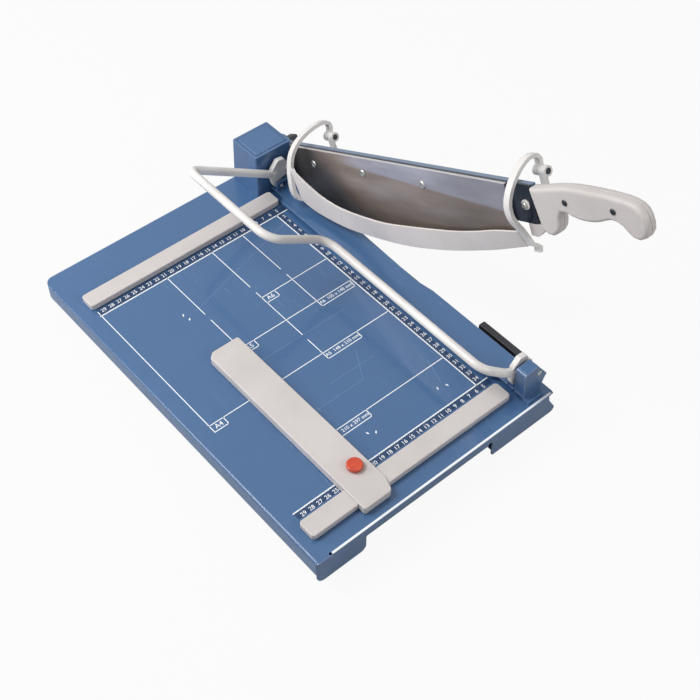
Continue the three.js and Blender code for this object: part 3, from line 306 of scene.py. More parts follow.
def table_point(x, y, rise=0.0):
    """A point on the table, in millimetres from the cutting plane, the pivot and the table top."""
    return Vector((CUT_X + x * MM, PIVOT_Y + y * MM, TOP_Z + rise * MM))


# Material building. Noise scales are in waves a metre, and bump depths and edges in metres.


class Nodes:
    """A node tree that is built one node at a time."""

    def __init__(self, tree):
        self.tree = tree

    def add(self, kind, **settings):
        node = self.tree.nodes.new(kind)
        for name, value in settings.items():
            setattr(node, name, value)
        return node

    def link(self, source, target):
        self.tree.links.new(source, target)

    def put(self, socket, value):
        """Links another node's socket to this one, or sets this one to a plain value."""
        if isinstance(value, bpy.types.NodeSocket):
            self.link(value, socket)
        else:
            socket.default_value = value

    def feed(self, node, **values):
        """Puts values on a node's inputs. Names use _ for a space."""
        for name, value in values.items():
            self.put(node.inputs[name.replace("_", " ")], value)
        return node


class Finish(Nodes):
    """A material with one shader and the small nodes that feed it."""

    def __init__(self, name, **shader_values):
        self.material = bpy.data.materials.new(name)
        self.material.use_nodes = True
        super().__init__(self.material.node_tree)
        self.shader = self.feed(self.tree.nodes["Principled BSDF"], **shader_values)
        self.place = self.add("ShaderNodeTexCoord").outputs["Object"]

    def scaled(self, scale, turn=(0, 0, 0), shift=(0, 0, 0)):
        mapping = self.feed(self.add("ShaderNodeMapping"), Vector=self.place, Scale=scale,
                            Rotation=turn, Location=shift)
        return mapping.outputs["Vector"]

    def along_arm(self):
        """Places on the raised arm, in metres: X out of the cut, -Y along the arm, Z square to it."""
        return self.scaled((1, 1, 1), turn=(ARM_RAISE, 0, 0), shift=ARM_SHIFT)

    def stretched(self, place, scale):
        node = self.add("ShaderNodeVectorMath", operation="MULTIPLY")
        self.put(node.inputs[0], place)
        self.put(node.inputs[1], scale)
        return node.outputs["Vector"]

    def split(self, place):
        return self.feed(self.add("ShaderNodeSeparateXYZ"), Vector=place).outputs

    def noise(self, scale, detail=3.0, roughness=0.5, place=None):
        node = self.feed(self.add("ShaderNodeTexNoise"), Vector=place or self.place, Scale=scale,
                         Detail=detail, Roughness=roughness)
        return node.outputs["Fac"]

    def spread(self, value, low, high, start=0.0, end=1.0, smooth=False):
        """Turns the span from low to high into the span from start to end, and stays within it."""
        node = self.add("ShaderNodeMapRange")
        if smooth:
            node.interpolation_type = "SMOOTHSTEP"
        self.feed(node, Value=value, From_Min=low, From_Max=high, To_Min=start, To_Max=end)
        return node.outputs["Result"]

    def math(self, operation, first, second=0.0):
        node = self.add("ShaderNodeMath", operation=operation)
        self.put(node.inputs[0], first)
        self.put(node.inputs[1], second)
        return node.outputs[0]

    def mix(self, share, first, second, blend="MIX"):
        """Mixes two colours, each another node's socket or red, green and blue."""
        node = self.add("ShaderNodeMix", data_type="RGBA", blend_type=blend)
        self.put(node.inputs[0], share)
        for socket, colour in ((node.inputs[6], first), (node.inputs[7], second)):
            self.put(socket, colour if isinstance(colour, bpy.types.NodeSocket) else (*colour, 1))
        return node.outputs[2]

    def tint(self, body, mask, colour, share):
        """The body's colour with a share of another colour where the mask is."""
        return self.mix(self.math("MULTIPLY", mask, share), body, colour)

    def edges(self, radius):
        """1 along sharp edges and 0 on the faces between them."""
        bevel = self.feed(self.add("ShaderNodeBevel", samples=EDGE_SAMPLES), Radius=radius)
        normal = self.add("ShaderNodeNewGeometry").outputs["Normal"]
        dot = self.add("ShaderNodeVectorMath", operation="DOT_PRODUCT")
        self.link(bevel.outputs["Normal"], dot.inputs[0])
        self.link(normal, dot.inputs[1])
        return self.spread(dot.outputs["Value"], *EDGE_COSINES, smooth=True)

    def colour(self, body):
        self.link(body, self.shader.inputs["Base Color"])

    def rough(self, field, low, high):
        """Roughness that wanders between low and high with a noise."""
        self.link(self.spread(field, *NOISE_MOST, low, high), self.shader.inputs["Roughness"])

    def bump(self, *layers):
        """Layers of (height, depth in metres), from the coarsest to the finest."""
        normal = None
        for height, depth in layers:
            node = self.feed(self.add("ShaderNodeBump"), Height=height, Distance=depth)
            if normal:
                self.link(normal, node.inputs["Normal"])
            normal = node.outputs["Normal"]
        self.link(normal, self.shader.inputs["Normal"])


def toned(colour, factor, share):
    """A tint of a darker or lighter tone of a colour, no lighter than the palest plastic."""
    return [min(PALEST, part * factor) for part in colour], share


def scratches(finish, scale, turn):
    """Hairline marks: thin level lines of a noise that is stretched along one direction."""
    place = finish.scaled((scale, scale * SCRATCH_SHRINK, scale), turn=turn)
    field = finish.noise(1.0, detail=1.0, place=place)
    away = finish.math("ABSOLUTE", finish.math("SUBTRACT", field, 0.5))
    line = finish.spread(away, 0.0, SCRATCH_WIDTH, 1.0, 0.0)
    patch = finish.spread(finish.noise(SCRATCH_PATCHES, detail=2.0), *SCRATCH_SPAN)
    return finish.math("MULTIPLY", line, patch)


def orange_peel(paint, depth):
    """The soft waves of sprayed paint, with a finer grain on them."""
    waves = paint.noise(PEEL_SCALE, detail=1.0)
    grain = paint.noise(PEEL_GRAIN_SCALE, detail=1.0)
    paint.bump((waves, depth), (grain, FINE_DEPTH))


def painted_steel():
    """Stove paint with a fine orange peel, dust, hairline marks and a painted highlight along the edges."""
    paint = Finish("blue_paint_finish", Coat_Weight=0.4, Coat_Roughness=0.1)
    body = paint.mix(paint.noise(7.0, detail=4.0), *PAINT_BLUE)
    dust = paint.spread(paint.noise(2600.0, detail=2.0), 0.35, 0.75)
    body = paint.tint(body, dust, *PAINT_SPECK)
    body = paint.tint(body, scratches(paint, 210.0, (0, 0, 0.7)), *PAINT_MARK)
    # Painted highlight along the edges
    paint.colour(paint.tint(body, paint.edges(1.2 * MM), *PAINT_EDGE_HIGHLIGHT))
    paint.rough(paint.noise(55.0), 0.34, 0.46)
    orange_peel(paint, 0.02 * MM)
    return paint.material


def arm_paint():
    """The bar's paint: blue, with painted shade, near-black, on the side towards the blade, and a painted
    grey-blue highlight on the top.
    """
    paint = Finish("arm_paint_finish", Coat_Weight=0.1, Coat_Roughness=0.2)
    places = paint.split(paint.along_arm())
    top = paint.spread(places["Z"], *BAR_TOP_SPAN, smooth=True)
    away = paint.spread(places["X"], *BAR_SIDE_SPAN, smooth=True)
    cloud = paint.noise(9.0, detail=4.0)
    # Painted shade on the bar's side towards the blade
    body = paint.mix(away, paint.mix(cloud, *BAR_SIDE_SHADE), paint.mix(cloud, *BAR_BLUE))
    # Painted highlight on the bar's top
    body = paint.mix(paint.math("MULTIPLY", top, away), body, paint.mix(cloud, *BAR_TOP_HIGHLIGHT))
    paint.colour(paint.tint(body, scratches(paint, 260.0, (ARM_RAISE, 0, 0)), *BAR_MARK))
    paint.rough(paint.noise(70.0), 0.26, 0.4)
    orange_peel(paint, 0.04 * MM)
    return paint.material


def moulded_plastic(name, shade, base, rough=0.42):
    """Moulded plastic: faint flow clouds, specks, a painted highlight along the edges and a fine spark grain.
    """
    plastic = Finish(name, IOR=1.47)
    cloud = plastic.noise(16.0, detail=5.0, roughness=0.6)
    body = plastic.mix(plastic.spread(cloud, *NOISE_MIDDLE), shade, base)
    speck = plastic.spread(plastic.noise(1400.0, detail=2.0), 0.6, 0.8)
    body = plastic.tint(body, speck, *toned(base, *PLASTIC_SPECK))
    # Painted highlight along the edges
    plastic.colour(plastic.tint(body, plastic.edges(1.1 * MM), *toned(base, *PLASTIC_EDGE_HIGHLIGHT)))
    plastic.rough(plastic.noise(40.0, detail=4.0), rough - 0.06, rough + 0.08)
    plastic.bump((plastic.noise(600.0, detail=2.0), 0.04 * MM), (plastic.noise(3200.0), 0.02 * MM))
    return plastic.material


def coated_wire():
    """White plastic coat on round wire, levers and hoops, a little glossier than the stops."""
    coat = Finish("white_coating_finish", Coat_Weight=0.25, Coat_Roughness=0.18)
    body = coat.mix(coat.spread(coat.noise(22.0, detail=4.0), *NOISE_MIDDLE), *COAT_WHITE)
    rub = coat.spread(coat.noise(120.0, detail=5.0, roughness=0.7), 0.62, 0.72)
    coat.colour(coat.tint(body, rub, *COAT_RUBBED))
    coat.rough(coat.noise(60.0), 0.28, 0.42)
    coat.bump((coat.noise(500.0, detail=2.0), 0.04 * MM), (coat.noise(2400.0), FINE_DEPTH))
    return coat.material


def ground_steel():
    """Blade steel: grinding lines along the arm, a painted pale reflection as a wedge near the top, darker
    steel towards the pivot end, a painted highlight over the rear half and painted shade towards the cutting
    edge.
    """
    steel = Finish("blade_steel_finish", Metallic=0.55)
    place = steel.along_arm()
    places = steel.split(place)
    along, up = places["Y"], places["Z"]
    brushed = steel.noise(1.0, detail=4.0, roughness=0.75, place=steel.stretched(place, (60, 14, 2600)))
    streak = steel.noise(1.0, place=steel.stretched(place, (20, 12, 60)))
    streak = steel.spread(streak, *NOISE_MOST)

    # Painted reflection: a pale wedge above a slanted line near the blade's top
    line = steel.math("ADD", steel.math("MULTIPLY", along, WEDGE_SLOPE), WEDGE_RISE)
    wedge = steel.spread(steel.math("SUBTRACT", up, line), -WEDGE_BLUR, WEDGE_BLUR, smooth=True)
    wedge = steel.math("MULTIPLY", wedge, steel.spread(along, *WEDGE_START, smooth=True))
    body = steel.mix(wedge, steel.mix(streak, *BLADE_BROWN), steel.mix(streak, *BLADE_PALE_REFLECTION))

    # Darker steel towards the pivot end
    cloud = steel.noise(14.0, detail=5.0, roughness=0.6)
    wander = steel.math("MULTIPLY", steel.math("SUBTRACT", cloud, 0.5), REAR_WANDER)
    slant = steel.math("ADD", wander, steel.math("MULTIPLY", up, REAR_LEAN))
    rear = steel.spread(steel.math("ADD", along, slant), *REAR_SPAN, smooth=True)
    body = steel.mix(rear, body, BLADE_REAR_DARK)
    # Painted highlight over the rear half and painted shade towards the cutting edge
    painted_sheen = steel.spread(along, *BLADE_SHEEN_SPAN, BLADE_SHEEN_GAIN, 1.0)
    painted_shade = steel.spread(up, *BLADE_SHADE_SPAN, 1.0, BLADE_SHADE_LOSS)
    body = steel.mix(1.0, body, steel.math("MULTIPLY", painted_sheen, painted_shade), blend="MULTIPLY")

    body = steel.tint(body, steel.spread(brushed, 0.35, 0.75), *BLADE_BRUSHED)
    steel.colour(steel.tint(body, steel.spread(up, *BLADE_TOP_SPAN), *BLADE_TOP_EDGE))
    steel.rough(brushed, 0.30, 0.46)
    steel.bump((brushed, 0.03 * MM))
    return steel.material


def plated_steel(name, base, rough):
    """Zinc-plated small hardware with mottled crystals and paler edges."""
    plated = Finish(name, Metallic=0.95)
    cells = plated.feed(plated.add("ShaderNodeTexVoronoi"), Vector=plated.place, Scale=900.0)
    body = plated.tint(base, cells.outputs["Distance"], *toned(base, *ZINC_CELLS))
    plated.colour(plated.tint(body, plated.edges(0.35 * MM), *ZINC_EDGE))
    plated.rough(plated.noise(300.0), rough - 0.06, rough + 0.1)
    plated.bump((plated.noise(1500.0, detail=2.0), 0.02 * MM))
    return plated.material


def black_rubber(name, base, rough, grain):
    """Matt black: moulded rubber or filled plastic with a dusty bloom and rubbed edges."""
    rubber = Finish(name)
    bloom = rubber.spread(rubber.noise(45.0, detail=5.0, roughness=0.65), 0.45, 0.75)
    body = rubber.tint(base, bloom, *toned(base, *BLACK_BLOOM))
    rubber.colour(rubber.tint(body, rubber.edges(0.6 * MM), *BLACK_EDGE))
    rubber.rough(rubber.noise(90.0, detail=2.0), rough - 0.08, rough + 0.08)
    rubber.bump((rubber.noise(grain), 0.08 * MM))
    return rubber.material


def gloss_plastic():
    """Orange knob: glossy moulded plastic with painted shade on its rim and fine swirl marks."""
    knob = Finish("orange_plastic_finish", Coat_Weight=0.4, Coat_Roughness=0.12)
    body = knob.mix(knob.spread(knob.noise(140.0), *NOISE_MOST), *KNOB_ORANGE)
    # Painted shade on the rim
    knob.colour(knob.tint(body, knob.edges(1.2 * MM), *KNOB_RIM_SHADE))
    knob.rough(knob.noise(400.0, detail=2.0), 0.24, 0.36)
    knob.bump((knob.noise(1200.0, detail=2.0), 0.02 * MM))
    return knob.material


def ink_surface(ink, low, high):
    """The dull surface with a very fine grain that the inks share, with its roughness."""
    ink.rough(ink.noise(INK_PATCH_SCALE), low, high)
    ink.bump((ink.noise(INK_GRAIN_SCALE), FINE_DEPTH))


def printing_ink():
    """White screen print, thin enough in places to let the blue through. The same ink draws the painted
    highlight along the front fold.
    """
    ink = Finish("print_ink", IOR=1.45)
    thin = ink.spread(ink.noise(1700.0), 0.55, 0.8)
    ink.colour(ink.tint(WHITE_INK_AND_HIGHLIGHT, thin, *INK_THIN))
    ink_surface(ink, 0.45, 0.6)
    return ink.material


def faint_ink():
    """The same ink, printed as a pale tint for the guide lines."""
    ink = Finish("print_ink_faint")
    ink.colour(ink.mix(ink.spread(ink.noise(1200.0), 0.4, 0.7), *INK_FAINT))
    ink_surface(ink, 0.42, 0.55)
    return ink.material


def dark_ink():
    """The darker band that the white numbers stand on, and the painted shade line round the foot of the
    block's cap.
    """
    ink = Finish("print_band", IOR=1.45)
    ink.colour(ink.mix(ink.noise(60.0, detail=4.0), *NAVY_INK_AND_SHADE))
    ink_surface(ink, 0.38, 0.5)
    return ink.material


def floor_paper():
    """Pale paper that takes the shadows softly, and shows near white to the camera and to gloss."""
    paper = Finish("floor_paper", Base_Color=FLOOR_GREY, Roughness=FLOOR_ROUGHNESS)
    path = paper.add("ShaderNodeLightPath")
    mirrored = paper.math("MULTIPLY", path.outputs["Is Glossy Ray"], FLOOR_IN_GLOSS)
    seen = paper.math("MAXIMUM", path.outputs["Is Camera Ray"], mirrored)
    glow = paper.feed(paper.add("ShaderNodeEmission"), Color=WHITE)
    blend = paper.add("ShaderNodeMixShader")
    paper.link(paper.math("MULTIPLY", seen, FLOOR_GLOW), blend.inputs[0])
    paper.link(paper.shader.outputs[0], blend.inputs[1])
    paper.link(glow.outputs[0], blend.inputs[2])
    paper.link(blend.outputs[0], paper.tree.nodes["Material Output"].inputs["Surface"])
    return paper.material


MATERIALS = {
    "blue_paint": painted_steel(),
    "light_plastic": moulded_plastic("light_plastic_finish", *STOP_GREY),
    "white_coating": coated_wire(),
    "blade_steel": ground_steel(),
    "zinc_steel": plated_steel("zinc_steel_finish", ZINC, 0.32),
    "dark_steel": plated_steel("dark_steel_finish", DARK_ZINC, 0.42),
    "black_plastic": black_rubber("black_plastic_finish", GUIDE_BLACK, 0.5, 800.0),
    "foot_rubber": black_rubber("foot_rubber_finish", FOOT_BLACK, 0.8, 1500.0),
    "orange_plastic": gloss_plastic(),
}
NODE_MATERIALS = {
    "arm_bar": arm_paint(),
    "guard_shield": moulded_plastic("guard_plastic_finish", *SHIELD_GREY, 0.36),
}
INK_AND_HIGHLIGHT = printing_ink()
FAINT_INK = faint_ink()
BAND_INK_AND_SHADE = dark_ink()
SLOT_OF = {part["node"]: part["material_slot"] for part in frame["record"]["subparts"]}
BODY_OF = {node: body for body, nodes in frame["record"]["behaviour"]["bodies"].items() for node in nodes}


# Mesh building


def linked(name, data):
    """A new object in the scene."""
    obj = bpy.data.objects.new(name, data)
    bpy.context.scene.collection.objects.link(obj)
    return obj


def piece(name, mesh, body, slot, material=None):
    """Puts a mesh on its body with its finish."""
    obj = linked(name, mesh)
    mesh.materials.clear()
    mesh.materials.append(material or MATERIALS[slot])
    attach(obj, body)
    return obj


def mesh_from(name, points, faces):
    mesh = bpy.data.meshes.new(name)
    mesh.from_pydata([tuple(point) for point in points], [], faces)
    return mesh


def smooth(mesh):
    mesh.shade_smooth()
    mesh.set_sharp_from_angle(angle=SMOOTH_ANGLE)
    return mesh


def applied(obj):
    """The object's shape after its modifiers, as a plain mesh. The object goes."""
    graph = bpy.context.evaluated_depsgraph_get()
    mesh = bpy.data.meshes.new_from_object(obj.evaluated_get(graph))
    bpy.data.objects.remove(obj)
    return mesh


def flat_faces(mesh):
    """Lets the large faces set the shading of their corners, so that flats stay flat."""
    obj = linked("flat_work", mesh)
    weighted = obj.modifiers.new("weighted", "WEIGHTED_NORMAL")
    weighted.keep_sharp = True
    return applied(obj)


def rounded_side_fold(work):
    """Rounds the long left fold of the table's sheet."""
    chosen = []
    for edge in work.edges:
        ends = [vertex.co for vertex in edge.verts]
        on_top = all(abs(end.z - TOP_Z) < ON_BOX for end in ends)
        on_side = all(abs(end.x - BED_LOW.x) < ON_BOX for end in ends)
        if on_top and on_side and edge.calc_length() > SIDE_FOLD:
            chosen.append(edge)
    bmesh.ops.bevel(work, geom=chosen, offset=SIDE_FOLD, segments=SIDE_FOLD_STEPS, profile=0.5,
                    affect="EDGES")


def edged(node, width):
    """A merged copy of a frame solid with its sharp edges broken, standing for that solid."""
    mesh = frame["nodes"][node].data.copy()
    work = bmesh.new()
    work.from_mesh(mesh)
    bmesh.ops.remove_doubles(work, verts=work.verts, dist=MERGE_DISTANCE)
    bmesh.ops.dissolve_limit(work, angle_limit=FLAT_ANGLE, verts=work.verts, edges=work.edges)
    if node == "bed":
        rounded_side_fold(work)
    work.to_mesh(mesh)
    work.free()
    obj = linked(node + "_work", mesh)
    bevel = obj.modifiers.new("edge", "BEVEL")
    bevel.width = width * MM
    bevel.segments = EDGE_STEPS
    bevel.limit_method = "ANGLE"
    bevel.angle_limit = EDGE_ANGLE
    bevel.use_clamp_overlap = True
    result = flat_faces(smooth(applied(obj)))
    finished = piece(node + "_finished", result, BODY_OF[node], SLOT_OF[node], NODE_MATERIALS.get(node))
    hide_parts(node)


# Repeated pieces, grown by geometry trees


class Grower(Nodes):
    """A geometry tree with named inputs, which ends in plain mesh with one finish."""

    def __init__(self, name, **inputs):
        super().__init__(bpy.data.node_groups.new(name, "GeometryNodeTree"))
        face = self.tree.interface
        face.new_socket("Geometry", in_out="INPUT", socket_type="NodeSocketGeometry")
        face.new_socket("Finish", in_out="INPUT", socket_type="NodeSocketMaterial")
        for label, kind in inputs.items():
            face.new_socket(label.replace("_", " "), in_out="INPUT", socket_type="NodeSocket" + kind)
        face.new_socket("Geometry", in_out="OUTPUT", socket_type="NodeSocketGeometry")
        self.given = self.add("NodeGroupInput").outputs

    def close(self, instances):
        """Joins the instances into mesh, sets the finish and ends the tree."""
        real = self.add("GeometryNodeRealizeInstances")
        self.link(instances, real.inputs[0])
        finish = self.feed(self.add("GeometryNodeSetMaterial"), Geometry=real.outputs[0],
                           Material=self.given["Finish"])
        self.link(finish.outputs[0], self.add("NodeGroupOutput").inputs[0])

    def grow(self, name, points, material, **sizes):
        """Runs the tree on the points and gives the mesh."""
        host = linked(name, mesh_from(name, points, []))
        modifier = host.modifiers.new("grow", "NODES")
        modifier.node_group = self.tree
        sockets = {}
        for item in self.tree.interface.items_tree:
            if item.in_out == "INPUT":
                sockets[item.name] = item.identifier
        modifier[sockets["Finish"]] = material
        for label, value in sizes.items():
            modifier[sockets[label.replace("_", " ")]] = value
        return applied(host)


def row_grower():
    """A straight row of small bars: ruler ticks and the guide's ribs."""
    row = Grower("row_of_bars", Start="Vector", Step="Vector", Count="Int", Bar_Size="Vector")
    line = row.feed(row.add("GeometryNodeMeshLine", mode="OFFSET"), Count=row.given["Count"],
                    Start_Location=row.given["Start"], Offset=row.given["Step"])
    bar = row.feed(row.add("GeometryNodeMeshCube"), Size=row.given["Bar Size"])
    placed = row.feed(row.add("GeometryNodeInstanceOnPoints"), Points=line.outputs[0],
                      Instance=bar.outputs[0])
    row.close(placed.outputs[0])
    return row


def ring_grower():
    """A ring of upright round ribs: the knob's grip."""
    ring = Grower("ring_of_ribs", Middle="Vector", Count="Int", Ring_Radius="Float", Rib_Radius="Float",
                  Rib_Height="Float")
    circle = ring.feed(ring.add("GeometryNodeMeshCircle"), Vertices=ring.given["Count"],
                       Radius=ring.given["Ring Radius"])
    rib = ring.feed(ring.add("GeometryNodeMeshCylinder"), Vertices=KNOB_RIB_SIDES,
                    Radius=ring.given["Rib Radius"], Depth=ring.given["Rib Height"])
    placed = ring.feed(ring.add("GeometryNodeInstanceOnPoints"), Points=circle.outputs[0],
                       Instance=rib.outputs[0])
    moved = ring.feed(ring.add("GeometryNodeTransform"), Geometry=placed.outputs[0],
                      Translation=ring.given["Middle"])
    ring.close(moved.outputs[0])
    return ring


def screw_grower():
    """One screw on each host point, all turned the same way."""
    screws = Grower("screws_on_points", Screw="Object", Facing="Vector")
    pattern = screws.feed(screws.add("GeometryNodeObjectInfo"), Object=screws.given["Screw"])
    placed = screws.feed(screws.add("GeometryNodeInstanceOnPoints"), Points=screws.given["Geometry"],
                         Instance=pattern.outputs["Geometry"], Rotation=screws.given["Facing"])
    screws.close(placed.outputs[0])
    return screws


def turned_rings(name, rings, sides):
    """A closed solid of rings round Z. Each ring is (radius, height, flats), with flats 0 for round."""
    points, faces = [], []
    for radius, height, flats in rings:
        for index in range(sides):
            angle = TAU * index / sides
            reach = radius
            if flats:
                part = TAU / flats
                reach = radius * math.cos(part / 2) / math.cos(angle % part - part / 2)
            points.append((reach * math.cos(angle), reach * math.sin(angle), height))
    for level in range(len(rings) - 1):
        low, high = level * sides, (level + 1) * sides
        for index in range(sides):
            after = (index + 1) % sides
            faces.append([low + index, low + after, high + after, high + index])
    faces.append(list(range(sides))[::-1])
    faces.append([len(points) - sides + index for index in range(sides)])
    return mesh_from(name, points, faces)


def socket_screw(name, sizes, length):
    """A button-head screw with a six-sided socket, head up, with its seat at Z = 0."""
    radius, height, shank = sizes
    socket = radius * SOCKET_SHARE
    rings = [(shank * SHANK_END_SHARE, -length, 0), (shank, SHANK_CHAMFER - length, 0), (shank, 0, 0)]
    rings += [(radius * across, height * up, 0) for across, up in HEAD_OUTLINE]
    rings += [(socket * across, height * up, flats) for across, up, flats in SOCKET_OUTLINE]
    return linked(name, turned_rings(name, rings, SCREW_SIDES))


def add_screws():
    """Screws whose heads face the table's left side, in the places of the frame's plain ones."""
    grower = screw_grower()
    for name, (nodes, sizes) in SCREWS.items():
        height = sizes[1]
        boxes = [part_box(node) for node in nodes]
        seats = [(low.x + height, (low.y + high.y) / 2, (low.z + high.z) / 2) for low, high in boxes]
        length = boxes[0][1].x - seats[0][0]
        pattern = socket_screw(name + "_pattern", sizes, length)
        mesh = grower.grow(name, seats, MATERIALS[SLOT_OF[nodes[0]]], Screw=pattern,
                           Facing=(0.0, -math.pi / 2, 0.0))
        bpy.data.objects.remove(pattern)
        finished = piece(name, smooth(mesh), BODY_OF[nodes[0]], SLOT_OF[nodes[0]])
        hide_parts(*nodes)


def add_guide_ribs(row):
    """Ribs across the flat top of the black guide."""
    low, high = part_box("blade_guide")
    count = int((high.y - low.y - 2 * RIB_FROM_END) // RIB_PITCH)
    start = ((low.x + high.x) / 2, (low.y + high.y) / 2 - (count - 1) / 2 * RIB_PITCH,
             high.z - RIB_WIDTH / 2 + RIB_PROUD)
    size = (high.x - low.x - 2 * RIB_FROM_SIDE, RIB_WIDTH, RIB_WIDTH)
    mesh = row.grow("blade_guide_ribs", [], MATERIALS["black_plastic"], Start=start,
                    Step=(0.0, RIB_PITCH, 0.0), Count=count, Bar_Size=size)
    piece("blade_guide_ribs", mesh, BODY_OF["blade_guide"], "black_plastic")


def add_knob_ribs():
    """Ribs round the side of the knob, partly sunk into it."""
    low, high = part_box("gauge_knob")
    middle = ((low.x + high.x) / 2, (low.y + high.y) / 2, high.z - KNOB_RIB_BELOW_TOP)
    radius = (high.x - low.x) / 2
    mesh = ring_grower().grow("knob_ribs", [], MATERIALS["orange_plastic"], Middle=middle,
                              Count=KNOB_RIB_COUNT, Rib_Radius=KNOB_RIB_RADIUS,
                              Ring_Radius=radius - KNOB_RIB_RADIUS * KNOB_RIB_SUNK_SHARE,
                              Rib_Height=KNOB_RIB_HEIGHT)
    piece("knob_ribs", smooth(mesh), BODY_OF["gauge_knob"], "orange_plastic")


def add_cap_seam():
    """Painted shade: a thin dark line round the foot of the raised panel on the pivot block."""
    low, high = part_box("block_cap")
    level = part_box("pivot_block")[1].z + CAP_SHADE_RISE
    points, faces = [], []
    for width in (0, CAP_SHADE_WIDTH):
        for x, y in ((low.x, low.y), (high.x, low.y), (high.x, high.y), (low.x, high.y)):
            side_x = -width if x == low.x else width
            side_y = -width if y == low.y else width
            points.append((x + side_x, y + side_y, level))
    for index in range(4):
        after = (index + 1) % 4
        faces.append([4 + index, 4 + after, after, index])
    # Painted shade at the foot of the raised panel
    piece("block_cap_seam", mesh_from("block_cap_seam", points, faces), "base", "blue_paint", BAND_INK_AND_SHADE)


# Printed scales and sheet outlines, and the painted highlight line on the front fold


class Print:
    """Flat ink strips on the table top, gathered into one mesh."""

    def __init__(self, name, material, rise=INK_RISE):
        self.name = name
        self.material = material
        self.rise = rise
        self.points = []
        self.faces = []

    def quad(self, corners):
        """A thin slab over four corners that run anticlockwise, seen from above."""
        first = len(self.points)
        for level in (self.rise, self.rise + INK_THICKNESS):
            self.points += [table_point(corner.x, corner.y, level) for corner in corners]
        low = [first + index for index in range(4)]
        high = [index + 4 for index in low]
        self.faces.append(low[::-1])
        self.faces.append(high)
        for index in range(4):
            after = (index + 1) % 4
            self.faces.append([low[index], low[after], high[after], high[index]])

    def line(self, start, end, width=LINE_WIDTH):
        """A straight strip that runs half its width past both ends."""
        start, end = Vector(start), Vector(end)
        along = (end - start).normalized() * width / 2
        across = Vector((-along.y, along.x))
        self.quad([start - along - across, end + along - across, end + along + across,
                   start - along + across])

    def text(self, words, x, y, height):
        """Words with their middle at a point, as flat faces."""
        curve = bpy.data.curves.new("print_text", "FONT")
        curve.body = words
        curve.size = height / CAPITAL_SHARE
        curve.align_x = "CENTER"
        curve.align_y = "CENTER"
        curve.offset = STROKE_SWELL * curve.size
        curve.resolution_u = LETTER_STEPS
        mesh = applied(linked("print_text", curve))
        bpy.data.curves.remove(curve)
        first = len(self.points)
        for vertex in mesh.vertices:
            self.points.append(table_point(x + vertex.co.x, y + vertex.co.y, self.rise + INK_THICKNESS))
        for face in mesh.polygons:
            corners = [first + index for index in face.vertices]
            if face.normal.z < 0:
                corners.reverse()
            self.faces.append(corners)
        bpy.data.meshes.remove(mesh)

    def finish(self):
        piece(self.name, mesh_from(self.name, self.points, self.faces), "base", "blue_paint", self.material)


def sheet_outlines(ink):
    """Each upright and level line once, although most are an edge of two of the sheets."""
    uprights, levels = {}, {}
    for short, long in SHEET_SIZES.values():
        for width, height in ((short, long), (long, short)):
            uprights[width] = max(height, uprights.get(width, 0))
            levels[height] = max(width, levels.get(height, 0))
    for width, height in uprights.items():
        start, low = BACK_RULER, PRINT_ZERO_Y - height
        if width == max(uprights):
            start, low = LEFT_LINE_BACK, LEFT_LINE_FRONT
        for gap_back, gap_front in LINE_GAPS[width]:
            ink.line((-width, start), (-width, gap_back))
            start = gap_front
        ink.line((-width, start), (-width, low))
    for height, width in levels.items():
        ink.line((-width, PRINT_ZERO_Y - height), (SIDE_RULER, PRINT_ZERO_Y - height))


def sheet_labels(ink):
    """Boxed sheet names: long ones below the upright sheets and short tags below the level ones.

    A tag's left side is a part of an upright line, which is there already."""
    for name, (short, long) in SHEET_SIZES.items():
        boxes = [(short, long, LABEL_WIDTH, LABEL_TEXT, f"{name}  {short} x {long} mm"),
                 (long, short, TAG_WIDTH, TAG_TEXT, name)]
        for width, height, box, size, words in boxes:
            low = PRINT_ZERO_Y - height
            foot = low - LABEL_DEPTH
            if box == LABEL_WIDTH:
                ink.line((-width, low), (-width, foot))
            ink.line((-width, foot), (-width + box, foot))
            ink.line((-width + box, foot), (-width + box, low))
            ink.text(words, -width + box / 2, (low + foot) / 2, size)


def rulers(ink):
    """Ruler lines and numbers, each centimetre."""
    ink.line((RULER_LEFT, BACK_RULER), (RULER_RIGHT, BACK_RULER), RULER_LINE_WIDTH)
    ink.line((RULER_LEFT, FRONT_RULER), (RULER_RIGHT, FRONT_RULER), RULER_LINE_WIDTH)
    ink.line((SIDE_RULER, BACK_RULER), (SIDE_RULER, FRONT_RULER), RULER_LINE_WIDTH)
    for step in range(FIRST_LEVEL, LAST_LEVEL + 1):
        for base, side in ((BACK_RULER, 1), (FRONT_RULER, -1)):
            ink.text(str(step), -step * RULER_PITCH, base + side * DIGIT_MIDDLE, DIGIT_HEIGHT)
    for step in range(FIRST_UPRIGHT, LAST_UPRIGHT + 1):
        ink.text(str(step), SIDE_RULER + DIGIT_MIDDLE, PRINT_ZERO_Y - step * RULER_PITCH, DIGIT_HEIGHT)


def front_edge_line(ink):
    """Painted highlight along the front fold, drawn as a pale ink line from the fold's small hole to the
    right end.
    """
    start = (BED_LOW.x - CUT_X) / MM + FOLD_HIGHLIGHT_START
    end = (BED_HIGH.x - CUT_X) / MM - FOLD_HIGHLIGHT_END
    y = (BED_LOW.y - PIVOT_Y) / MM + FOLD_HIGHLIGHT_WIDTH * FOLD_HIGHLIGHT_SHARE
    ink.line((start, y), (end, y), FOLD_HIGHLIGHT_WIDTH)


def ruler_bands(band):
    """Dark bands under the numbers of the three rulers."""
    half = BAND_DEPTH / 2
    for base, side in ((BACK_RULER, 1), (FRONT_RULER, -1)):
        middle = base + side * half
        band.line((RULER_LEFT + half, middle), (RULER_RIGHT - half, middle), BAND_DEPTH)
    middle = SIDE_RULER + half
    band.line((middle, BACK_RULER - half), (middle, FRONT_RULER + half), BAND_DEPTH)


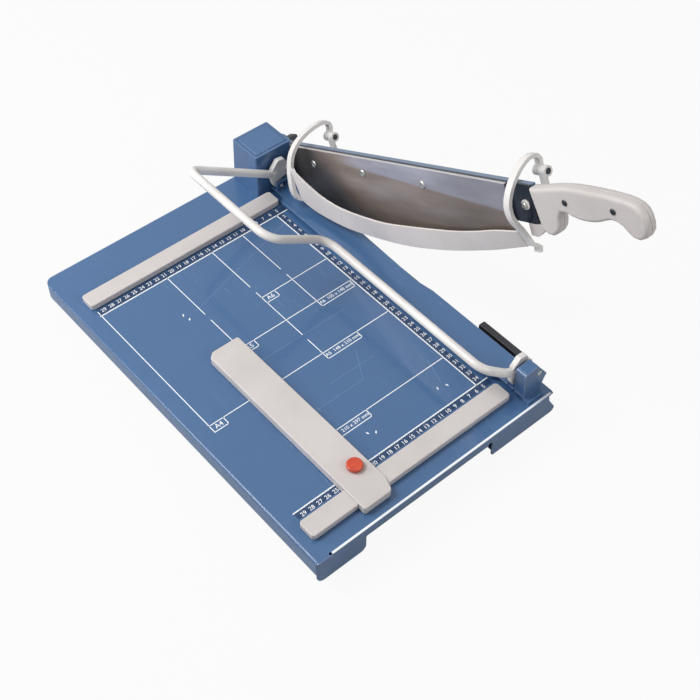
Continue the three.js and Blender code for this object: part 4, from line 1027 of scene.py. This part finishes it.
def add_ticks(row):
    """Millimetre, half and whole centimetre ticks of the three rulers."""
    meshes = []
    for share, length, width in TICKS:
        pitch = RULER_PITCH * share
        level_count = int((LAST_LEVEL - FIRST_LEVEL) / share) + 1
        upright_count = int((LAST_UPRIGHT - FIRST_UPRIGHT) / share) + 1
        for base, side in ((BACK_RULER, 1), (FRONT_RULER, -1)):
            start = table_point(-FIRST_LEVEL * RULER_PITCH, base + side * length / 2, TICK_RISE)
            meshes.append(row.grow("level_ticks", [], INK_AND_HIGHLIGHT, Start=start, Step=(-pitch * MM, 0.0, 0.0),
                                   Count=level_count, Bar_Size=(width * MM, length * MM, INK_THICKNESS * MM)))
        start = table_point(SIDE_RULER + length / 2, PRINT_ZERO_Y - FIRST_UPRIGHT * RULER_PITCH, TICK_RISE)
        meshes.append(row.grow("upright_ticks", [], INK_AND_HIGHLIGHT, Start=start, Step=(0.0, -pitch * MM, 0.0),
                               Count=upright_count, Bar_Size=(length * MM, width * MM, INK_THICKNESS * MM)))
    work = bmesh.new()
    for mesh in meshes:
        work.from_mesh(mesh)
    joined = bpy.data.meshes.new("ruler_ticks")
    work.to_mesh(joined)
    work.free()
    piece("ruler_ticks", joined, "base", "blue_paint", INK_AND_HIGHLIGHT)


def guide_lines(ink):
    """Pale centre and angle lines between the sheet outlines."""
    for start, end in GUIDE_LINES:
        ink.line(start, end, THIN_WIDTH)


def register_marks(ink):
    """Small pairs of leaf-shaped white marks."""
    for x, y, turn in MARKS:
        along = Vector((math.cos(turn), math.sin(turn))) * MARK_REACH
        across = Vector((-along.y, along.x)) * MARK_SHARE
        middle = Vector((x, y))
        ink.quad([middle - across, middle + along, middle + across, middle - along])


def add_print():
    """The white print with the painted highlight line of the front fold, the pale guide lines and the dark
    bands, each as one piece.
    """
    ink = Print("table_print", INK_AND_HIGHLIGHT)
    rulers(ink)
    sheet_outlines(ink)
    sheet_labels(ink)
    register_marks(ink)
    # Painted highlight along the front fold
    front_edge_line(ink)
    ink.finish()
    faint = Print("table_guide_lines", FAINT_INK, GUIDE_RISE)
    guide_lines(faint)
    faint.finish()
    band = Print("ruler_bands", BAND_INK_AND_SHADE, BAND_RISE)
    ruler_bands(band)
    band.finish()


# Studio


def add_world():
    """A white surround: bright to the camera and to gloss, and dimmer as light on the object."""
    world = bpy.data.worlds.new("studio")
    bpy.context.scene.world = world
    world.use_nodes = True
    sky = Nodes(world.node_tree)
    path = sky.add("ShaderNodeLightPath")
    seen = sky.add("ShaderNodeMath", operation="MAXIMUM")
    sky.link(path.outputs["Is Camera Ray"], seen.inputs[0])
    sky.link(path.outputs["Is Glossy Ray"], seen.inputs[1])
    strength = sky.feed(sky.add("ShaderNodeMapRange"), Value=seen.outputs[0], To_Min=WORLD_LIGHT,
                        To_Max=WORLD_SEEN)
    sky.feed(sky.tree.nodes["Background"], Color=WHITE, Strength=strength.outputs["Result"])


def area_lamp(name, place, size, power):
    """A soft rectangular lamp that faces the object."""
    light = bpy.data.lights.new(name, "AREA")
    light.shape = "RECTANGLE"
    light.size, light.size_y = size
    light.energy = power
    lamp = linked(name, light)
    lamp.location = place
    lamp.rotation_euler = (Vector(LAMP_TARGET) - Vector(place)).to_track_quat("-Z", "Y").to_euler()


def add_studio():
    """The surround, the lamps and the floor."""
    bpy.context.scene.view_settings.view_transform = "Standard"
    add_world()
    for name, (place, size, power) in LAMPS.items():
        area_lamp(name, place, size, power)
    corners = [(-FLOOR_REACH, -FLOOR_REACH, 0), (FLOOR_REACH, -FLOOR_REACH, 0),
               (FLOOR_REACH, FLOOR_REACH, 0), (-FLOOR_REACH, FLOOR_REACH, 0)]
    mesh = mesh_from("floor", corners, [(0, 1, 2, 3)])
    mesh.materials.append(floor_paper())
    floor = linked("floor", mesh)


def add_camera():
    """The photo's view of the object."""
    data = bpy.data.cameras.new("camera")
    data.sensor_width = SENSOR
    data.lens = LENS
    data.clip_end = CLIP_END
    camera = linked("camera", data)
    camera.location = Vector((CUT_X, PIVOT_Y, TOP_Z)) + Vector(CAMERA_FROM_CUT)
    camera.rotation_euler = (math.pi / 2 - CAMERA_DOWN, 0, CAMERA_AZIMUTH)
    bpy.context.scene.camera = camera


add_camera()
add_studio()
for node in sorted(frame["nodes"]):
    if node not in SCREW_NODES:
        edged(node, EDGE_WIDTHS.get(node, DEFAULT_EDGE))
add_print()
rows = row_grower()
add_ticks(rows)
add_guide_ribs(rows)
add_knob_ribs()
add_screws()
add_cap_seam()
